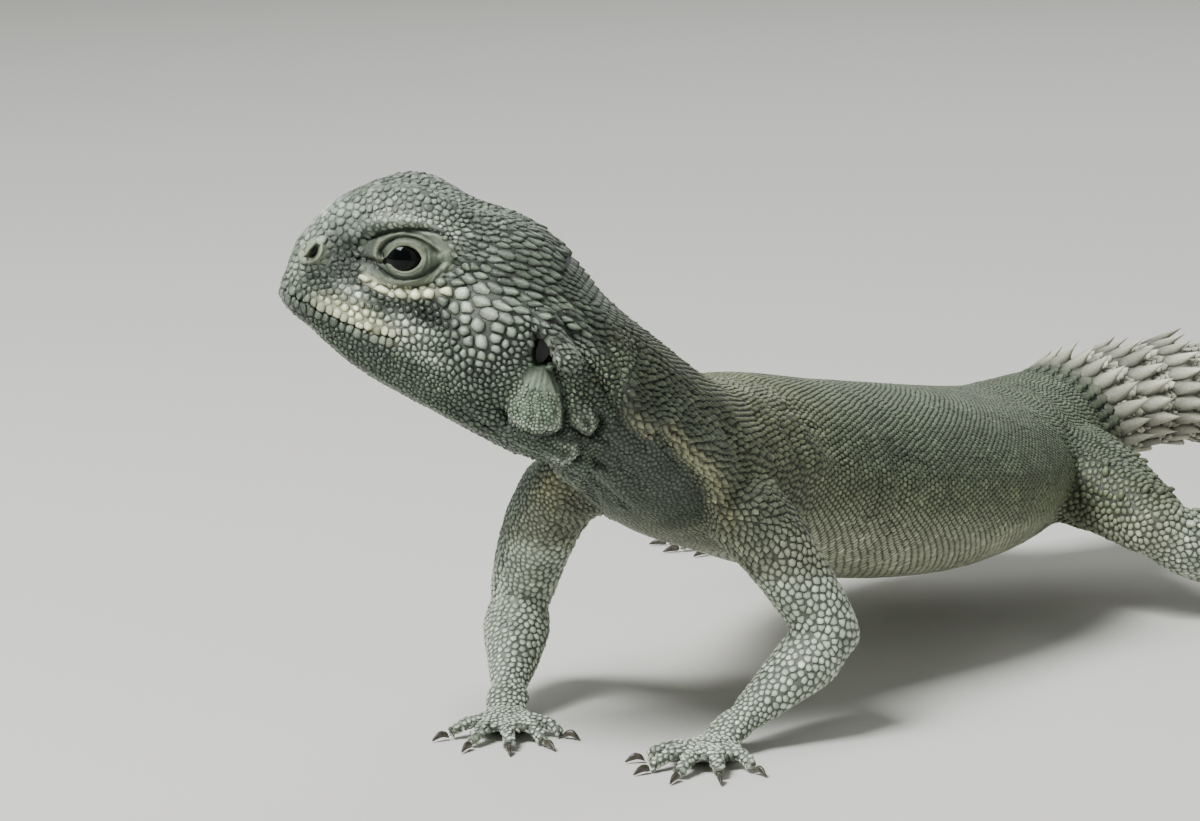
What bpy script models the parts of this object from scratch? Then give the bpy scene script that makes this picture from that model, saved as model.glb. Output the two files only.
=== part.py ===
# A life-size uromastyx, a spiny-tailed desert lizard, standing alert with its head raised on straight arms.
# Metres, +Z up. The head looks towards -X, the trunk runs back to +X and +Y, the tail curls round to +X.

import math

import bmesh
import bpy
import numpy as np
from mathutils import Matrix, Vector

MM = 0.001
GAP = 0.3 * MM              # between two nodes that meet
UP = Vector((0, 0, 1))

# Driving sizes, in millimetres and degrees. Places on the head are along it, out to the side and up.
HEAD_ORIGIN = (-7.7, 0.0, 57.5)   # middle of the head, level with the ears
HEAD_PITCH = math.radians(20)     # the head is raised by this much
EYE_PLACE = (19.4, 6.9, 3.3)
EYE_RADIUS = 3.7
EYE_OPENING = (2.5, 1.6)          # half length and half height between the lids
NOSTRIL_PLACE = (30.9, 6.6, -0.4)
NOSTRIL_RADIUS = 0.8
EAR_PLACE = (-0.9, 12.4, -1.0)
EAR_SIZE = (1.3, 2.6, 2.6)        # half length, half depth and half height of the cup
LID_THICKNESS = 0.7
# Folds of the lids: their angle from the eye's own axis, the turns round it from and to, and their radius
LID_FOLDS = [(0.72, 20, 165, 0.5), (1.08, 15, 160, 0.65), (0.78, 200, 345, 0.5)]
JOWL_PLACE = (-1.9, 12.0, -7.6)
JOWL_SIZE = (3.5, 4.3, 2.7)
# The fold behind the ear: places on the head and the radius at each
EAR_FOLD = [((0.8, 12.5, 3.4), 0.9), ((-2.0, 13.2, 1.0), 1.4), ((-4.4, 12.3, -2.0), 1.1)]

CHEST_PLACE = (6.5, 15.0)         # between the shoulders, on the plan
CHEST_BACK = 60.8                 # the way back along the trunk there
HIP_PLACE = (64.5, 107.0)
HIP_BACK = 52.0
# Limb pieces down to the foot, each along its middle: out to the side, back, up, half width, half height
FORE_PIECES = {
    "upper_arm": [(7.0, 0.0, 35.0, 6.0, 6.0), (14.5, 1.2, 30.5, 6.0, 5.8), (20.2, 4.2, 22.0, 5.4, 5.0),
                  (24.0, 7.0, 14.2, 4.6, 4.4)],
    "forearm": [(24.1, 7.0, 13.6, 3.8, 3.8), (22.6, 3.4, 10.8, 4.9, 4.3), (20.4, -1.2, 7.6, 4.0, 3.3),
                (18.6, -5.5, 4.9, 2.9, 2.5)],
    "hand": [(18.4, -5.8, 4.6, 2.4, 1.9), (17.4, -8.0, 3.4, 3.1, 2.2), (16.6, -10.0, 2.4, 3.0, 1.7)],
}
HIND_PIECES = {
    "thigh": [(4.0, 0.5, 19.5, 9.0, 7.6), (13.0, -4.0, 19.5, 9.2, 8.0), (23.0, -8.5, 18.0, 7.6, 7.0),
              (32.0, -11.0, 15.0, 5.6, 5.4)],
    "shin": [(32.2, -11.0, 14.6, 4.6, 4.6), (34.6, -6.5, 11.8, 5.7, 5.2), (37.0, -0.5, 8.2, 4.8, 4.2),
             (39.2, 5.0, 5.2, 3.4, 2.9)],
    "foot": [(39.4, 5.2, 4.8, 2.8, 2.2), (40.8, 5.0, 3.8, 3.7, 2.6), (43.4, 3.2, 2.7, 3.8, 2.1)],
}
# Digits fan out from a foot: the turn from its own direction (inner side first) and the length
FORE_DIGITS = [(56, 5.6), (27, 7.6), (1, 8.6), (-25, 8.0), (-56, 5.8)]
HIND_DIGITS = [(44, 6.0), (22, 9.0), (4, 11.4), (-15, 12.4), (-50, 8.4)]
FORE_PALM = (4.6, 4.2, 2.2)       # half length, half width and thickness
HIND_PALM = (6.2, 4.6, 2.4)
FORE_WAYS = (-112, -88)           # the level way that the left hand and the right hand point
HIND_WAYS = (-78, 196)
DIGIT_SIZES = [(1.6, 1.4), (1.25, 1.15), (0.95, 0.85)]      # half width and height at root, knuckle and tip
DIGIT_HEIGHTS = (1.7, 2.0, 0.85)  # of its middle over the floor, at the same three
CLAW_LENGTH = 2.9
CLAW_RADII = [(0, 0.74), (0.45, 0.6), (0.8, 0.34), (1, 0.1)]    # share of the length, radius there
CLAW_CLEARANCE = 0.15             # the claws stay this far over the floor

# The tail's middle, then its half width and half height without the spines
TAIL_PATH = [(70.5, 113.0, 23.6, 12.6, 9.2), (81.0, 120.0, 26.4, 11.9, 8.3), (93.0, 123.5, 27.4, 11.5, 7.9),
             (107.0, 123.5, 24.8, 10.9, 7.7), (122.0, 120.0, 19.2, 10.1, 7.3), (138.0, 114.5, 13.0, 9.0, 6.6),
             (155.0, 108.5, 8.2, 7.5, 5.8), (172.0, 103.0, 5.5, 5.8, 4.7), (188.0, 98.5, 3.8, 3.9, 3.3),
             (202.0, 95.0, 2.3, 1.8, 1.7)]
WHORLS = 22
WHORLS_PER_LENGTH = (6, 6, 5, 5)
SPINES_ROUND = (13, 7)            # in the first whorl and in the last
SPINE_LENGTH = (5.8, 3.2)
SPINE_RADIUS = (1.9, 0.85)
SPINE_ARC = (-38, 218)            # the spines stand between these turns, 90 being the top
WHORL_LENGTHS = (1.3, 0.75)       # the first whorl's length against the last one's
WHORL_STEP = [(0.04, 0.93), (0.86, 1.04)]       # share of a whorl's length, and its girth there

# Across the head and trunk, an outline has these marks from the crown round to the throat
MARK_ANGLES = [90, 52, 8, -22, -32, -42, -62, -90]
MARK_STEPS = [3, 3, 4, 1, 1, 2, 2]        # faces between each two marks
OUTLINE_STEPS = 2                         # rings between two outlines
# A head outline is its place along the head, the crown's height, then out and up of brow, side, lip edge,
# lip groove, lower lip edge and chin edge, then the throat's height
HEAD_OUTLINES = [
    (33.9, -0.8, (1.2, -1.2), (2.2, -2.8), (2.0, -5.4), (1.7, -5.9), (1.7, -6.4), (1.3, -7.2), -7.5),
    (33.2, 1.4, (2.6, 0.6), (4.3, -2.4), (3.9, -5.8), (3.3, -6.4), (3.6, -6.9), (2.7, -7.9), -8.4),
    (31.9, 4.3, (3.4, 3.4), (5.5, -1.2), (5.6, -6.0), (4.7, -6.7), (5.2, -7.3), (4.0, -8.7), -9.4),
    (30.1, 7.0, (4.3, 6.2), (6.3, 0.2), (7.0, -6.1), (6.0, -6.8), (6.6, -7.4), (5.2, -9.2), -10.0),
    (27.8, 8.9, (5.4, 8.7), (7.0, 2.0), (8.2, -6.2), (7.2, -6.9), (7.8, -7.5), (6.2, -9.8), -10.8),
    (25.0, 9.9, (6.9, 11.1), (7.9, 3.0), (9.2, -6.3), (8.2, -7.0), (8.8, -7.6), (7.2, -10.8), -12.0),
    (21.5, 10.3, (7.8, 12.2), (8.9, 3.2), (10.3, -6.4), (9.3, -7.1), (9.8, -7.7), (8.2, -11.9), -13.1),
    (17.5, 10.8, (8.0, 12.2), (9.9, 3.0), (11.4, -6.1), (10.8, -6.7), (11.1, -7.4), (9.0, -12.7), -14.0),
    (13.5, 11.5, (7.6, 11.6), (11.3, 3.2), (12.5, -5.8), (12.4, -6.9), (12.2, -8.2), (9.8, -13.2), -14.7),
    (9.5, 12.1, (7.3, 11.5), (12.5, 3.2), (13.4, -6.6), (13.3, -8.2), (12.7, -9.8), (10.4, -13.7), -15.3),
    (5.5, 12.0, (7.2, 11.2), (12.9, 3.0), (13.6, -7.2), (13.4, -9.0), (12.8, -10.7), (10.6, -14.2), -16.0),
    (1.5, 10.7, (6.9, 9.8), (12.6, 2.2), (13.3, -7.6), (13.0, -9.5), (12.4, -11.3), (10.5, -14.6), -16.8),
    (-2.0, 8.8, (6.6, 7.9), (12.0, 1.2), (12.8, -7.8), (12.5, -9.7), (11.9, -11.5), (10.2, -14.9), -17.2),
    (-6.0, 6.3, (6.2, 5.5), (11.2, 0.0), (12.1, -7.6), (11.8, -9.4), (11.2, -11.2), (9.6, -14.7), -17.0),
]
NECK_MIDDLE = (-6.0, 0, -5.2)
# A trunk outline is the middle, then the half width, the height above it and the depth below it
TRUNK_OUTLINES = [
    (2.5, 5.0, 44.8, 12.4, 10.9, 11.6),
    (9.2, 17.0, 37.2, 15.4, 11.2, 11.8),
    (17.5, 32.0, 33.4, 18.3, 12.6, 13.4),
    (28.5, 51.5, 28.6, 23.3, 13.1, 15.6),
    (40.0, 71.5, 24.8, 25.3, 12.7, 16.2),
    (51.0, 89.5, 22.6, 22.3, 11.3, 15.2),
    (61.0, 103.0, 21.8, 17.0, 10.0, 13.2),
    (70.5, 113.0, 23.6, 12.6, 9.2, 9.2),
]
NECK_START, CHEST_START, BELLY_START = 13, 15, 17   # the outlines where the body is parted

# Forms pushed out of, or into, both sides of the head and neck: place, size, height, way (out, up)
SIDE_FORMS = [
    ((20.5, 8.2, 11.5), 3.6, 0.9, (0.5, 0.8)),      # brow dome
    ((20.0, 10.5, 7.6), 3.2, 1.3, (1, 0)),          # shelf over the eye
    ((27.0, 8.0, 2.0), 3.0, -0.8, (1, 0)),          # hollow before the eye
    ((12.5, 12.5, 1.0), 4.0, -0.5, (1, 0)),         # hollow behind the eye
    ((6.0, 13.2, -5.0), 5.0, 0.9, (1, 0)),          # cheek
    ((30.9, 6.4, -0.4), 1.9, 0.8, (1, 0)),          # swelling round the nostril
    ((-8.9, 11.4, -7.2), 2.2, 1.4, (1, 0)),         # small fold on the neck
    ((-10.6, 10.4, -3.0), 2.4, 1.2, (1, 0)),        # fold above it
    ((-8.2, 9.6, -13.2), 2.8, 1.5, (1, -0.3)),      # fold low on the throat
]


def at(x, y, z):
    """A point given in millimetres."""
    return Vector((x, y, z)) * MM


FORWARD = Vector((-math.cos(HEAD_PITCH), 0, math.sin(HEAD_PITCH)))
HEAD_UP = Vector((math.sin(HEAD_PITCH), 0, math.cos(HEAD_PITCH)))
HEAD_LEFT = HEAD_UP.cross(FORWARD)


def on_head(along, out, up, side=1):
    """A point of the head: along it from the ears, out to the left (side 1) or right (side -1), and up."""
    return at(*HEAD_ORIGIN) + (FORWARD * along + HEAD_LEFT * (out * side) + HEAD_UP * up) * MM


def level_way(degrees):
    """A level direction, 0 along +X and 90 along +Y."""
    turn = math.radians(degrees)
    return Vector((math.cos(turn), math.sin(turn), 0))


def between(pair, share):
    return pair[0] + (pair[1] - pair[0]) * share


# Scene, collections and materials

def clear_scene():
    for obj in list(bpy.data.objects):
        bpy.data.objects.remove(obj, do_unlink=True)


def new_collection(name):
    collection = bpy.data.collections.new(name)
    bpy.context.scene.collection.children.link(collection)
    return collection


def new_material(name, colour, roughness):
    material = bpy.data.materials.new(name)
    material.use_nodes = True
    shader = material.node_tree.nodes["Principled BSDF"]
    shader.inputs["Base Color"].default_value = (*colour, 1)
    shader.inputs["Roughness"].default_value = roughness
    return material


clear_scene()
PARTS = new_collection("uromastyx")
CUTTERS = new_collection("cutters")
SKIN = new_material("scaly_skin", (0.21, 0.235, 0.21), 0.62)
SPINY = new_material("spiny_tail", (0.36, 0.35, 0.29), 0.6)
HORN = new_material("claw_horn", (0.06, 0.055, 0.05), 0.35)
EYE = new_material("dark_eye", (0.012, 0.013, 0.016), 0.08)
DRUM = new_material("ear_drum", (0.07, 0.075, 0.065), 0.5)


def own_copy(material, name):
    copy = material.copy()
    copy.name = f"{material.name}_{name}"
    return copy


# Mesh helpers

def smooth_through(rows, steps):
    """Catmull-Rom curve through the rows of an array, with that many steps between each two."""
    rows = np.asarray(rows, float)
    ends = np.vstack([2 * rows[0] - rows[1], rows, 2 * rows[-1] - rows[-2]])
    found = []
    for i in range(len(rows) - 1):
        for t in np.arange(steps) / steps:
            found.append(catmull_rom(*ends[i:i + 4], t))
    found.append(rows[-1])
    return np.array(found)


def catmull_rom(a, b, c, d, t):
    bend = (2 * a - 5 * b + 4 * c - d) * t * t + (3 * b - a - 3 * c + d) * t ** 3
    return 0.5 * (2 * b + (c - a) * t + bend)


def finish(name, mesh, material, collection=None):
    """A node, or with the cutters' collection a helper piece, that shows the mesh."""
    obj = bpy.data.objects.new(name, mesh)
    mesh.materials.clear()
    mesh.materials.append(material if collection else own_copy(material, name))
    mesh.shade_smooth()
    (collection or PARTS).objects.link(obj)
    return obj


def mesh_from(name, bm):
    bmesh.ops.recalc_face_normals(bm, faces=bm.faces)
    mesh = bpy.data.meshes.new(name)
    bm.to_mesh(mesh)
    bm.free()
    return mesh


def skin_rings(name, rings):
    """A closed mesh over rings of points that lie one behind the other, with a fan across each end."""
    bm = bmesh.new()
    loops = [[bm.verts.new(p) for p in ring] for ring in rings]
    for first, second in zip(loops, loops[1:]):
        for i in range(len(first)):
            j = (i + 1) % len(first)
            bm.faces.new((first[i], first[j], second[j], second[i]))
    for loop in (loops[0], loops[-1]):
        middle = bm.verts.new(sum((v.co for v in loop), Vector()) / len(loop))
        for i in range(len(loop)):
            bm.faces.new((loop[i], loop[(i + 1) % len(loop)], middle))
    return mesh_from(name, bm)


def largest_body(mesh):
    """Keeps only the largest closed surface of a mesh."""
    bm = bmesh.new()
    bm.from_mesh(mesh)
    left, bodies = set(bm.verts), []
    while left:
        todo = [left.pop()]
        body = set(todo)
        while todo:
            here = todo.pop()
            near = {edge.other_vert(here) for edge in here.link_edges} & left
            left -= near
            body |= near
            todo.extend(near)
        bodies.append(body)
    bodies.sort(key=len)
    bmesh.ops.delete(bm, geom=[vert for body in bodies[:-1] for vert in body], context="VERTS")
    bm.to_mesh(mesh)
    bm.free()
    return mesh


def combined(obj, others, operation):
    """Joins obj with, or cuts it by, the other closed pieces, which are then removed."""
    helper = new_collection(obj.name + "_tools")
    for other in others:
        for collection in list(other.users_collection):
            collection.objects.unlink(other)
        helper.objects.link(other)
    modifier = obj.modifiers.new(operation.lower(), "BOOLEAN")
    modifier.operand_type = "COLLECTION"
    modifier.collection = helper
    modifier.operation = operation
    modifier.solver = "EXACT"
    bpy.context.view_layer.update()
    shape = obj.evaluated_get(bpy.context.evaluated_depsgraph_get())
    mesh = largest_body(bpy.data.meshes.new_from_object(shape))
    mesh.materials.clear()
    mesh.materials.append(obj.data.materials[0])
    obj.modifiers.clear()
    obj.data = mesh
    for other in others:
        bpy.data.objects.remove(other, do_unlink=True)
    bpy.data.collections.remove(helper)
    return obj


def grown(obj):
    """A copy of a node that stands out from it by the gap, to cut its neighbour clear."""
    bm = bmesh.new()
    bm.from_mesh(obj.data)
    bm.normal_update()
    for vert in bm.verts:
        vert.co += vert.normal * (GAP * min(vert.calc_shell_factor(), 1.6))
    return finish(obj.name + "_grown", mesh_from(obj.name + "_grown", bm), SKIN, CUTTERS)


def placed(bm, axes, place):
    """Turns a bmesh's X, Y and Z to the three given axes and moves it to place."""
    turn = Matrix([list(axis) for axis in axes]).transposed().to_4x4()
    bmesh.ops.transform(bm, matrix=Matrix.Translation(place) @ turn, verts=bm.verts)


def ball(name, place, radii, axes, segments=16, rings=10, material=None, collection=None):
    """An ellipsoid with its radii, in millimetres, along three axes. Its poles are on the third."""
    bm = bmesh.new()
    bmesh.ops.create_uvsphere(bm, u_segments=segments, v_segments=rings, radius=1)
    bmesh.ops.scale(bm, vec=Vector(radii) * MM, verts=bm.verts)
    placed(bm, axes, place)
    return finish(name, mesh_from(name, bm), material or SKIN, collection)


# Limbs, digits, folds and tail are tubes: rings of points set square on a path

def path_rings(rows, sides, steps):
    """Rings along rows of x, y, z, half width and half height, in millimetres, and the way at each ring."""
    rows = smooth_through(rows, steps)
    points = [at(*row[:3]) for row in rows]
    rings, ways = [], []
    for i, middle in enumerate(points):
        way = (points[min(i + 1, len(points) - 1)] - points[max(i - 1, 0)]).normalized()
        across = way.cross(UP).normalized() if abs(way.z) < 0.97 else way.cross(HEAD_LEFT).normalized()
        over = across.cross(way)
        wide, high = rows[i][3:5]
        rings.append([middle + (across * (math.cos(t) * wide) + over * (math.sin(t) * high)) * MM
                      for t in np.linspace(0, math.tau, sides, endpoint=False)])
        ways.append(way)
    return rings, ways


def length_of(name, rings, ways, first, last, material, collection=None):
    """A piece from one ring to another, set back by half the gap wherever more of the path follows."""
    taken = [[Vector(p) for p in ring] for ring in rings[first:last + 1]]
    if first > 0:
        taken[0] = [p + ways[first] * (GAP / 2) for p in taken[0]]
    if last < len(rings) - 1:
        taken[-1] = [p - ways[last] * (GAP / 2) for p in taken[-1]]
    return finish(name, skin_rings(name, taken), material, collection)


def tube(name, rows, sides=8, steps=2, round_ends=False, collection=CUTTERS):
    """A tube closed at both ends, a helper unless another collection, or None for a node, is given."""
    rings, ways = path_rings(rows, sides, steps)
    if round_ends:
        rings = [*domed(rings[0], -ways[0])[::-1], *rings, *domed(rings[-1], ways[-1])]
    return finish(name, skin_rings(name, rings), SKIN, collection)


def domed(ring, way):
    """Two smaller rings beyond the end of a tube, which round it off."""
    middle = sum(ring, Vector()) / len(ring)
    radius = sum((p - middle).length for p in ring) / len(ring)
    return [[middle + (p - middle) * math.cos(turn) + way * (radius * math.sin(turn)) for p in ring]
            for turn in (math.radians(38), math.radians(70))]


def in_mm(point):
    return tuple(point / MM)


# Head, neck and trunk: one smooth surface through the outlines, parted across it

def outline_ring(centre, left, up, marks):
    """The marks of an outline on both sides, as one closed ring from the crown down the left."""
    right = [(-out, high) for out, high in marks[-2:0:-1]]
    return [centre + (left * out + up * high) * MM for out, high in marks + right]


def trunk_marks(wide, high, deep):
    marks = []
    for angle in MARK_ANGLES:
        turn = math.radians(angle)
        out = wide * math.cos(turn) ** 0.9 if abs(angle) < 90 else 0
        marks.append((out, (high if angle > 0 else deep) * math.sin(turn)))
    return marks


def body_outlines():
    """The ring of marks at every outline, from the snout to the vent, and the way back at each."""
    rings = [outline_ring(on_head(along, 0, 0), HEAD_LEFT, HEAD_UP, [(0, crown), *marks, (0, throat)])
             for along, crown, *marks, throat in HEAD_OUTLINES]
    ways = [-FORWARD] * len(rings)
    middles = [on_head(*NECK_MIDDLE)] + [at(*row[:3]) for row in TRUNK_OUTLINES] + [at(*TAIL_PATH[1][:3])]
    for i, row in enumerate(TRUNK_OUTLINES, 1):
        back = ((middles[i + 1] - middles[i - 1]).normalized() + ways[-1]).normalized()
        left = back.cross(UP).normalized()
        rings.append(outline_ring(middles[i], left, left.cross(back), trunk_marks(*row[3:])))
        ways.append(back)
    return rings, ways


def rounded(marks):
    """A ring of marks drawn round, with its own number of steps on each stretch."""
    steps = MARK_STEPS + MARK_STEPS[::-1]
    count = len(marks)
    found = []
    for i in range(count):
        near = [np.array(marks[(i + k) % count]) for k in (-1, 0, 1, 2)]
        found += [catmull_rom(*near, t) for t in np.arange(steps[i]) / steps[i]]
    return found


def pushed(points, place, size, height, way):
    """Points near a place pushed along a way, by a height that fades out over the size."""
    apart = (points - np.array(place)) / (size * MM)
    share = np.exp(-np.sum(apart ** 2, axis=1))
    return points + np.outer(share * height * MM, np.array(way))


def body_surface():
    """Fine rings from the snout to the vent with the side forms in them, and the way back at each."""
    rings, ways = body_outlines()
    fine = np.array([rounded(ring) for ring in rings])
    flat = smooth_through(fine.reshape(len(fine), -1), OUTLINE_STEPS)
    points = flat.reshape(-1, 3)
    for place, size, height, (out, up) in SIDE_FORMS:
        for side in (1, -1):
            way = HEAD_LEFT * (out * side) + HEAD_UP * up
            points = pushed(points, on_head(*place, side), size, height, way)
    fine_ways = [Vector(way) for way in smooth_through(ways, OUTLINE_STEPS)]
    return points.reshape(len(flat), -1, 3), fine_ways


def make_trunk():
    rings, ways = body_surface()
    cuts = [outline * OUTLINE_STEPS for outline in (0, NECK_START, CHEST_START, BELLY_START)]
    ends = cuts[1:] + [len(rings) - 1]
    names = ("head", "neck", "chest", "belly")
    return {name: length_of(name, rings, ways, first, last, SKIN)
            for name, first, last in zip(names, cuts, ends)}


# The head's own forms

def eye_axes(side):
    """Along the lids, up them and the way that the eye looks."""
    look = (HEAD_LEFT * side + FORWARD * 0.22 + HEAD_UP * 0.06).normalized()
    up = (UP - look * UP.dot(look)).normalized()
    return up.cross(look), up, look


def lid_fold(name, side, reach, start, end, radius):
    """A fold of lid that lies as an arc on the eyelids, between two turns round the eye's own axis."""
    along, up, look = eye_axes(side)
    rows = []
    for share in np.linspace(0, 1, 6):
        turn = math.radians(between((start, end), share))
        spread = along * (math.cos(turn) * -side) + up * (math.sin(turn) * 0.72)
        way = (spread * math.sin(reach) + look * math.cos(reach)).normalized()
        point = on_head(*EYE_PLACE, side) + way * ((EYE_RADIUS + 0.75) * MM)
        thick = radius * (0.35 + 0.65 * math.sin(math.pi * share))
        rows.append((*in_mm(point), thick, thick))
    return tube(name, rows, 6, 1)


def dress_head(head):
    """Adds lids, jowl and ear folds to the head, then cuts eye sockets, nostrils and ear cups."""
    added, cut = [], []
    for side, hand in ((1, "left"), (-1, "right")):
        lids = eye_axes(side)
        look = lids[2]
        eye = on_head(*EYE_PLACE, side)
        face = (FORWARD, HEAD_UP, HEAD_LEFT * side)
        wide = EYE_RADIUS + LID_THICKNESS
        added.append(ball("lids_" + hand, eye, (wide * 1.12, wide * 0.94, wide), lids, 16, 8,
                          collection=CUTTERS))
        added += [lid_fold(f"lid_fold_{hand}_{i}", side, *fold) for i, fold in enumerate(LID_FOLDS)]
        added.append(ball("jowl_" + hand, on_head(*JOWL_PLACE, side), JOWL_SIZE, face, 12, 7,
                          collection=CUTTERS))
        rows = [(*in_mm(on_head(*place, side)), radius, radius) for place, radius in EAR_FOLD]
        added.append(tube("ear_fold_" + hand, rows, 7, 2))
        cut.append(ball("socket_" + hand, eye, [EYE_RADIUS + GAP / MM] * 3, lids, 14, 9,
                        collection=CUTTERS))
        cut.append(ball("opening_" + hand, eye + look * (EYE_RADIUS * MM), (*EYE_OPENING, 3), lids, 14, 6,
                        collection=CUTTERS))
        cut.append(ball("nostril_" + hand, on_head(*NOSTRIL_PLACE, side) + HEAD_LEFT * (0.5 * side * MM),
                        (NOSTRIL_RADIUS, NOSTRIL_RADIUS, 1.6), face, 8, 5, collection=CUTTERS))
        cut.append(ball("cup_" + hand, on_head(*EAR_PLACE, side), (EAR_SIZE[0], EAR_SIZE[2], EAR_SIZE[1]),
                        face, 10, 7, collection=CUTTERS))
        ball("eye_" + hand, eye, [EYE_RADIUS] * 3, lids, 16, 11, EYE)
        make_ear("ear_" + hand, side, face)
    combined(head, added, "UNION")
    combined(head, cut, "DIFFERENCE")


def make_ear(name, side, face):
    """The eardrum fills the inner half of the ear's cup, clear of it by the gap."""
    gap = GAP / MM
    place = on_head(*EAR_PLACE, side)
    bm = bmesh.new()
    bmesh.ops.create_uvsphere(bm, u_segments=10, v_segments=7, radius=1)
    size = Vector((EAR_SIZE[0] - gap, EAR_SIZE[2] - gap, EAR_SIZE[1] - gap))
    bmesh.ops.scale(bm, vec=size * MM, verts=bm.verts)
    level = Vector((0, 0, -0.3 * EAR_SIZE[1])) * MM
    cut = bmesh.ops.bisect_plane(bm, geom=[*bm.verts, *bm.edges, *bm.faces], plane_co=level,
                                 plane_no=(0, 0, 1), clear_outer=True)
    rim = [item for item in cut["geom_cut"] if isinstance(item, bmesh.types.BMEdge)]
    bmesh.ops.edgenet_fill(bm, edges=rim)
    placed(bm, face, place)
    finish(name, mesh_from(name, bm), DRUM)


# Limbs and feet

def limb_rows(piece, place, back_degrees, side):
    """A limb piece's middle, given as out, back and up from a place on the trunk, as rows for a tube."""
    back = level_way(back_degrees)
    out = back.cross(UP) * side
    middle = Vector((*place, 0))
    return [(*(middle + out * far + back * behind + UP * up), wide, high)
            for far, behind, up, wide, high in piece]


def make_limb(pieces, place, back_degrees, side, points_to, digits, palm, neighbours):
    """An upper limb, a lower limb and a foot with its claws, each cut clear of what it grows from."""
    hand = "left" if side == 1 else "right"
    for name, piece in pieces.items():
        rows = limb_rows(piece, place, back_degrees, side)
        node = tube(f"{name}_{hand}", rows, 12, 2, round_ends=True, collection=None)
        if node.name.startswith(("hand", "foot")):
            make_foot(node, Vector(rows[-1][:3]), points_to, digits, palm, side)
        combined(node, [grown(neighbour) for neighbour in neighbours], "DIFFERENCE")
        neighbours = [node]


def make_foot(heel, wrist, points_to, digits, palm, side):
    """Joins the palm and the digits to a heel, cuts its sole flat and adds the claws."""
    name = heel.name
    length, half, thick = palm
    ahead = level_way(points_to)
    sole = wrist + ahead * (length * 0.7)
    sole.z = thick * 0.55
    added = [ball(name + "_palm", sole * MM, palm, (ahead, UP.cross(ahead), UP), 12, 7, collection=CUTTERS)]
    for i, (turn, reach) in enumerate(digits, 1):
        way = level_way(points_to - side * turn)
        edge = length * 0.75
        rows = []
        fars = (length * 0.3, edge + reach * 0.5, edge + reach)
        for far, height, size in zip(fars, DIGIT_HEIGHTS, DIGIT_SIZES):
            rows.append((*(Vector((sole.x, sole.y, height)) + way * far), *size))
        rings, ways = path_rings(rows, 6, 2)
        added.append(length_of(f"{name}_digit_{i}", rings, ways, 0, len(rings) - 1, SKIN, CUTTERS))
        make_claw(f"{name}_claw_{i}", at(*rows[-1][:3]), ways[-1])
    combined(heel, added, "UNION")
    combined(heel, [floor_block()], "DIFFERENCE")


def floor_block():
    """A block under the floor, which cuts the flats that the animal stands on."""
    depth = 20
    bm = bmesh.new()
    bmesh.ops.create_cube(bm, size=1)
    bmesh.ops.scale(bm, vec=at(600, 600, depth), verts=bm.verts)
    bmesh.ops.translate(bm, vec=at(80, 60, -depth / 2), verts=bm.verts)
    return finish("floor_block", mesh_from("floor_block", bm), SKIN, CUTTERS)


def make_claw(name, tip, way):
    """A curved claw that starts face to face with the end of its digit."""
    rings = []
    across = way.cross(UP).normalized()
    over = across.cross(way)
    for share, radius in CLAW_RADII:
        middle = tip + way * (GAP + CLAW_LENGTH * share * MM) + UP * (0.5 * share * (1 - share) * MM)
        rings.append([middle + (across * (math.cos(t) * 0.75) + over * math.sin(t)) * (radius * MM)
                      for t in np.linspace(0, math.tau, 6, endpoint=False)])
    lowest = min(p.z for ring in rings for p in ring)
    lift = UP * max(0, CLAW_CLEARANCE * MM - lowest)
    rings = [rings[0]] + [[p + lift for p in ring] for ring in rings[1:]]
    finish(name, skin_rings(name, rings), HORN)


# Tail: stepped whorls, each with a ring of spines on its back and sides

def whorl_edges():
    """How far along the tail's path each whorl starts, as a share: they shorten towards the tip."""
    sizes = np.linspace(*WHORL_LENGTHS, WHORLS)
    return np.concatenate([[0], np.cumsum(sizes) / sizes.sum()])


def tail_path():
    """A function from a share of the tail's length to its row of the path."""
    fine = smooth_through(TAIL_PATH, 12)
    steps = np.linalg.norm(np.diff(fine[:, :3], axis=0), axis=1)
    shares = np.concatenate([[0], np.cumsum(steps) / steps.sum()])
    return lambda share: np.array([np.interp(share, shares, fine[:, k]) for k in range(5)])


def spine(name, root, way, out, length, radius):
    """A flattened spine that leans back along the tail, its root sunk in."""
    lean = (way * 0.9 + out * 0.42).normalized()
    start = root - lean * (radius * 1.1 * MM)
    depth = length * MM + radius * 1.1 * MM
    across = lean.cross(out).normalized()
    bm = bmesh.new()
    bmesh.ops.create_cone(bm, segments=4, radius1=radius * MM, radius2=0, depth=depth, cap_ends=True)
    bmesh.ops.scale(bm, vec=(1, 0.6, 1), verts=bm.verts)
    placed(bm, (across, lean.cross(across), lean), start + lean * (depth / 2))
    return finish(name, mesh_from(name, bm), SPINY, CUTTERS)


def make_tail(belly):
    path, edges = tail_path(), whorl_edges()
    rows = []
    for first, last in zip(edges, edges[1:]):
        for share, swell in WHORL_STEP:
            row = path(between((first, last), share))
            rows.append((*row[:3], row[3] * swell, row[4] * swell))
    start, after = path(0), path(0.02)
    rows[0] = (*(start[:3] - (after - start)[:3] * 1.5), *(start[3:] * 0.97))
    rows.append(tuple(path(1)))
    rings, ways = path_rings(rows, 14, 1)
    first = 0
    for number, count in enumerate(WHORLS_PER_LENGTH, 1):
        last = first + count
        end = last * 2 if last < WHORLS else len(rings) - 1
        node = length_of(f"tail_{number}", rings, ways, first * 2, end, SPINY)
        combined(node, whorl_spines(path, edges, first, last), "UNION")
        combined(node, [floor_block()] if first else [floor_block(), grown(belly)], "DIFFERENCE")
        first = last


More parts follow.
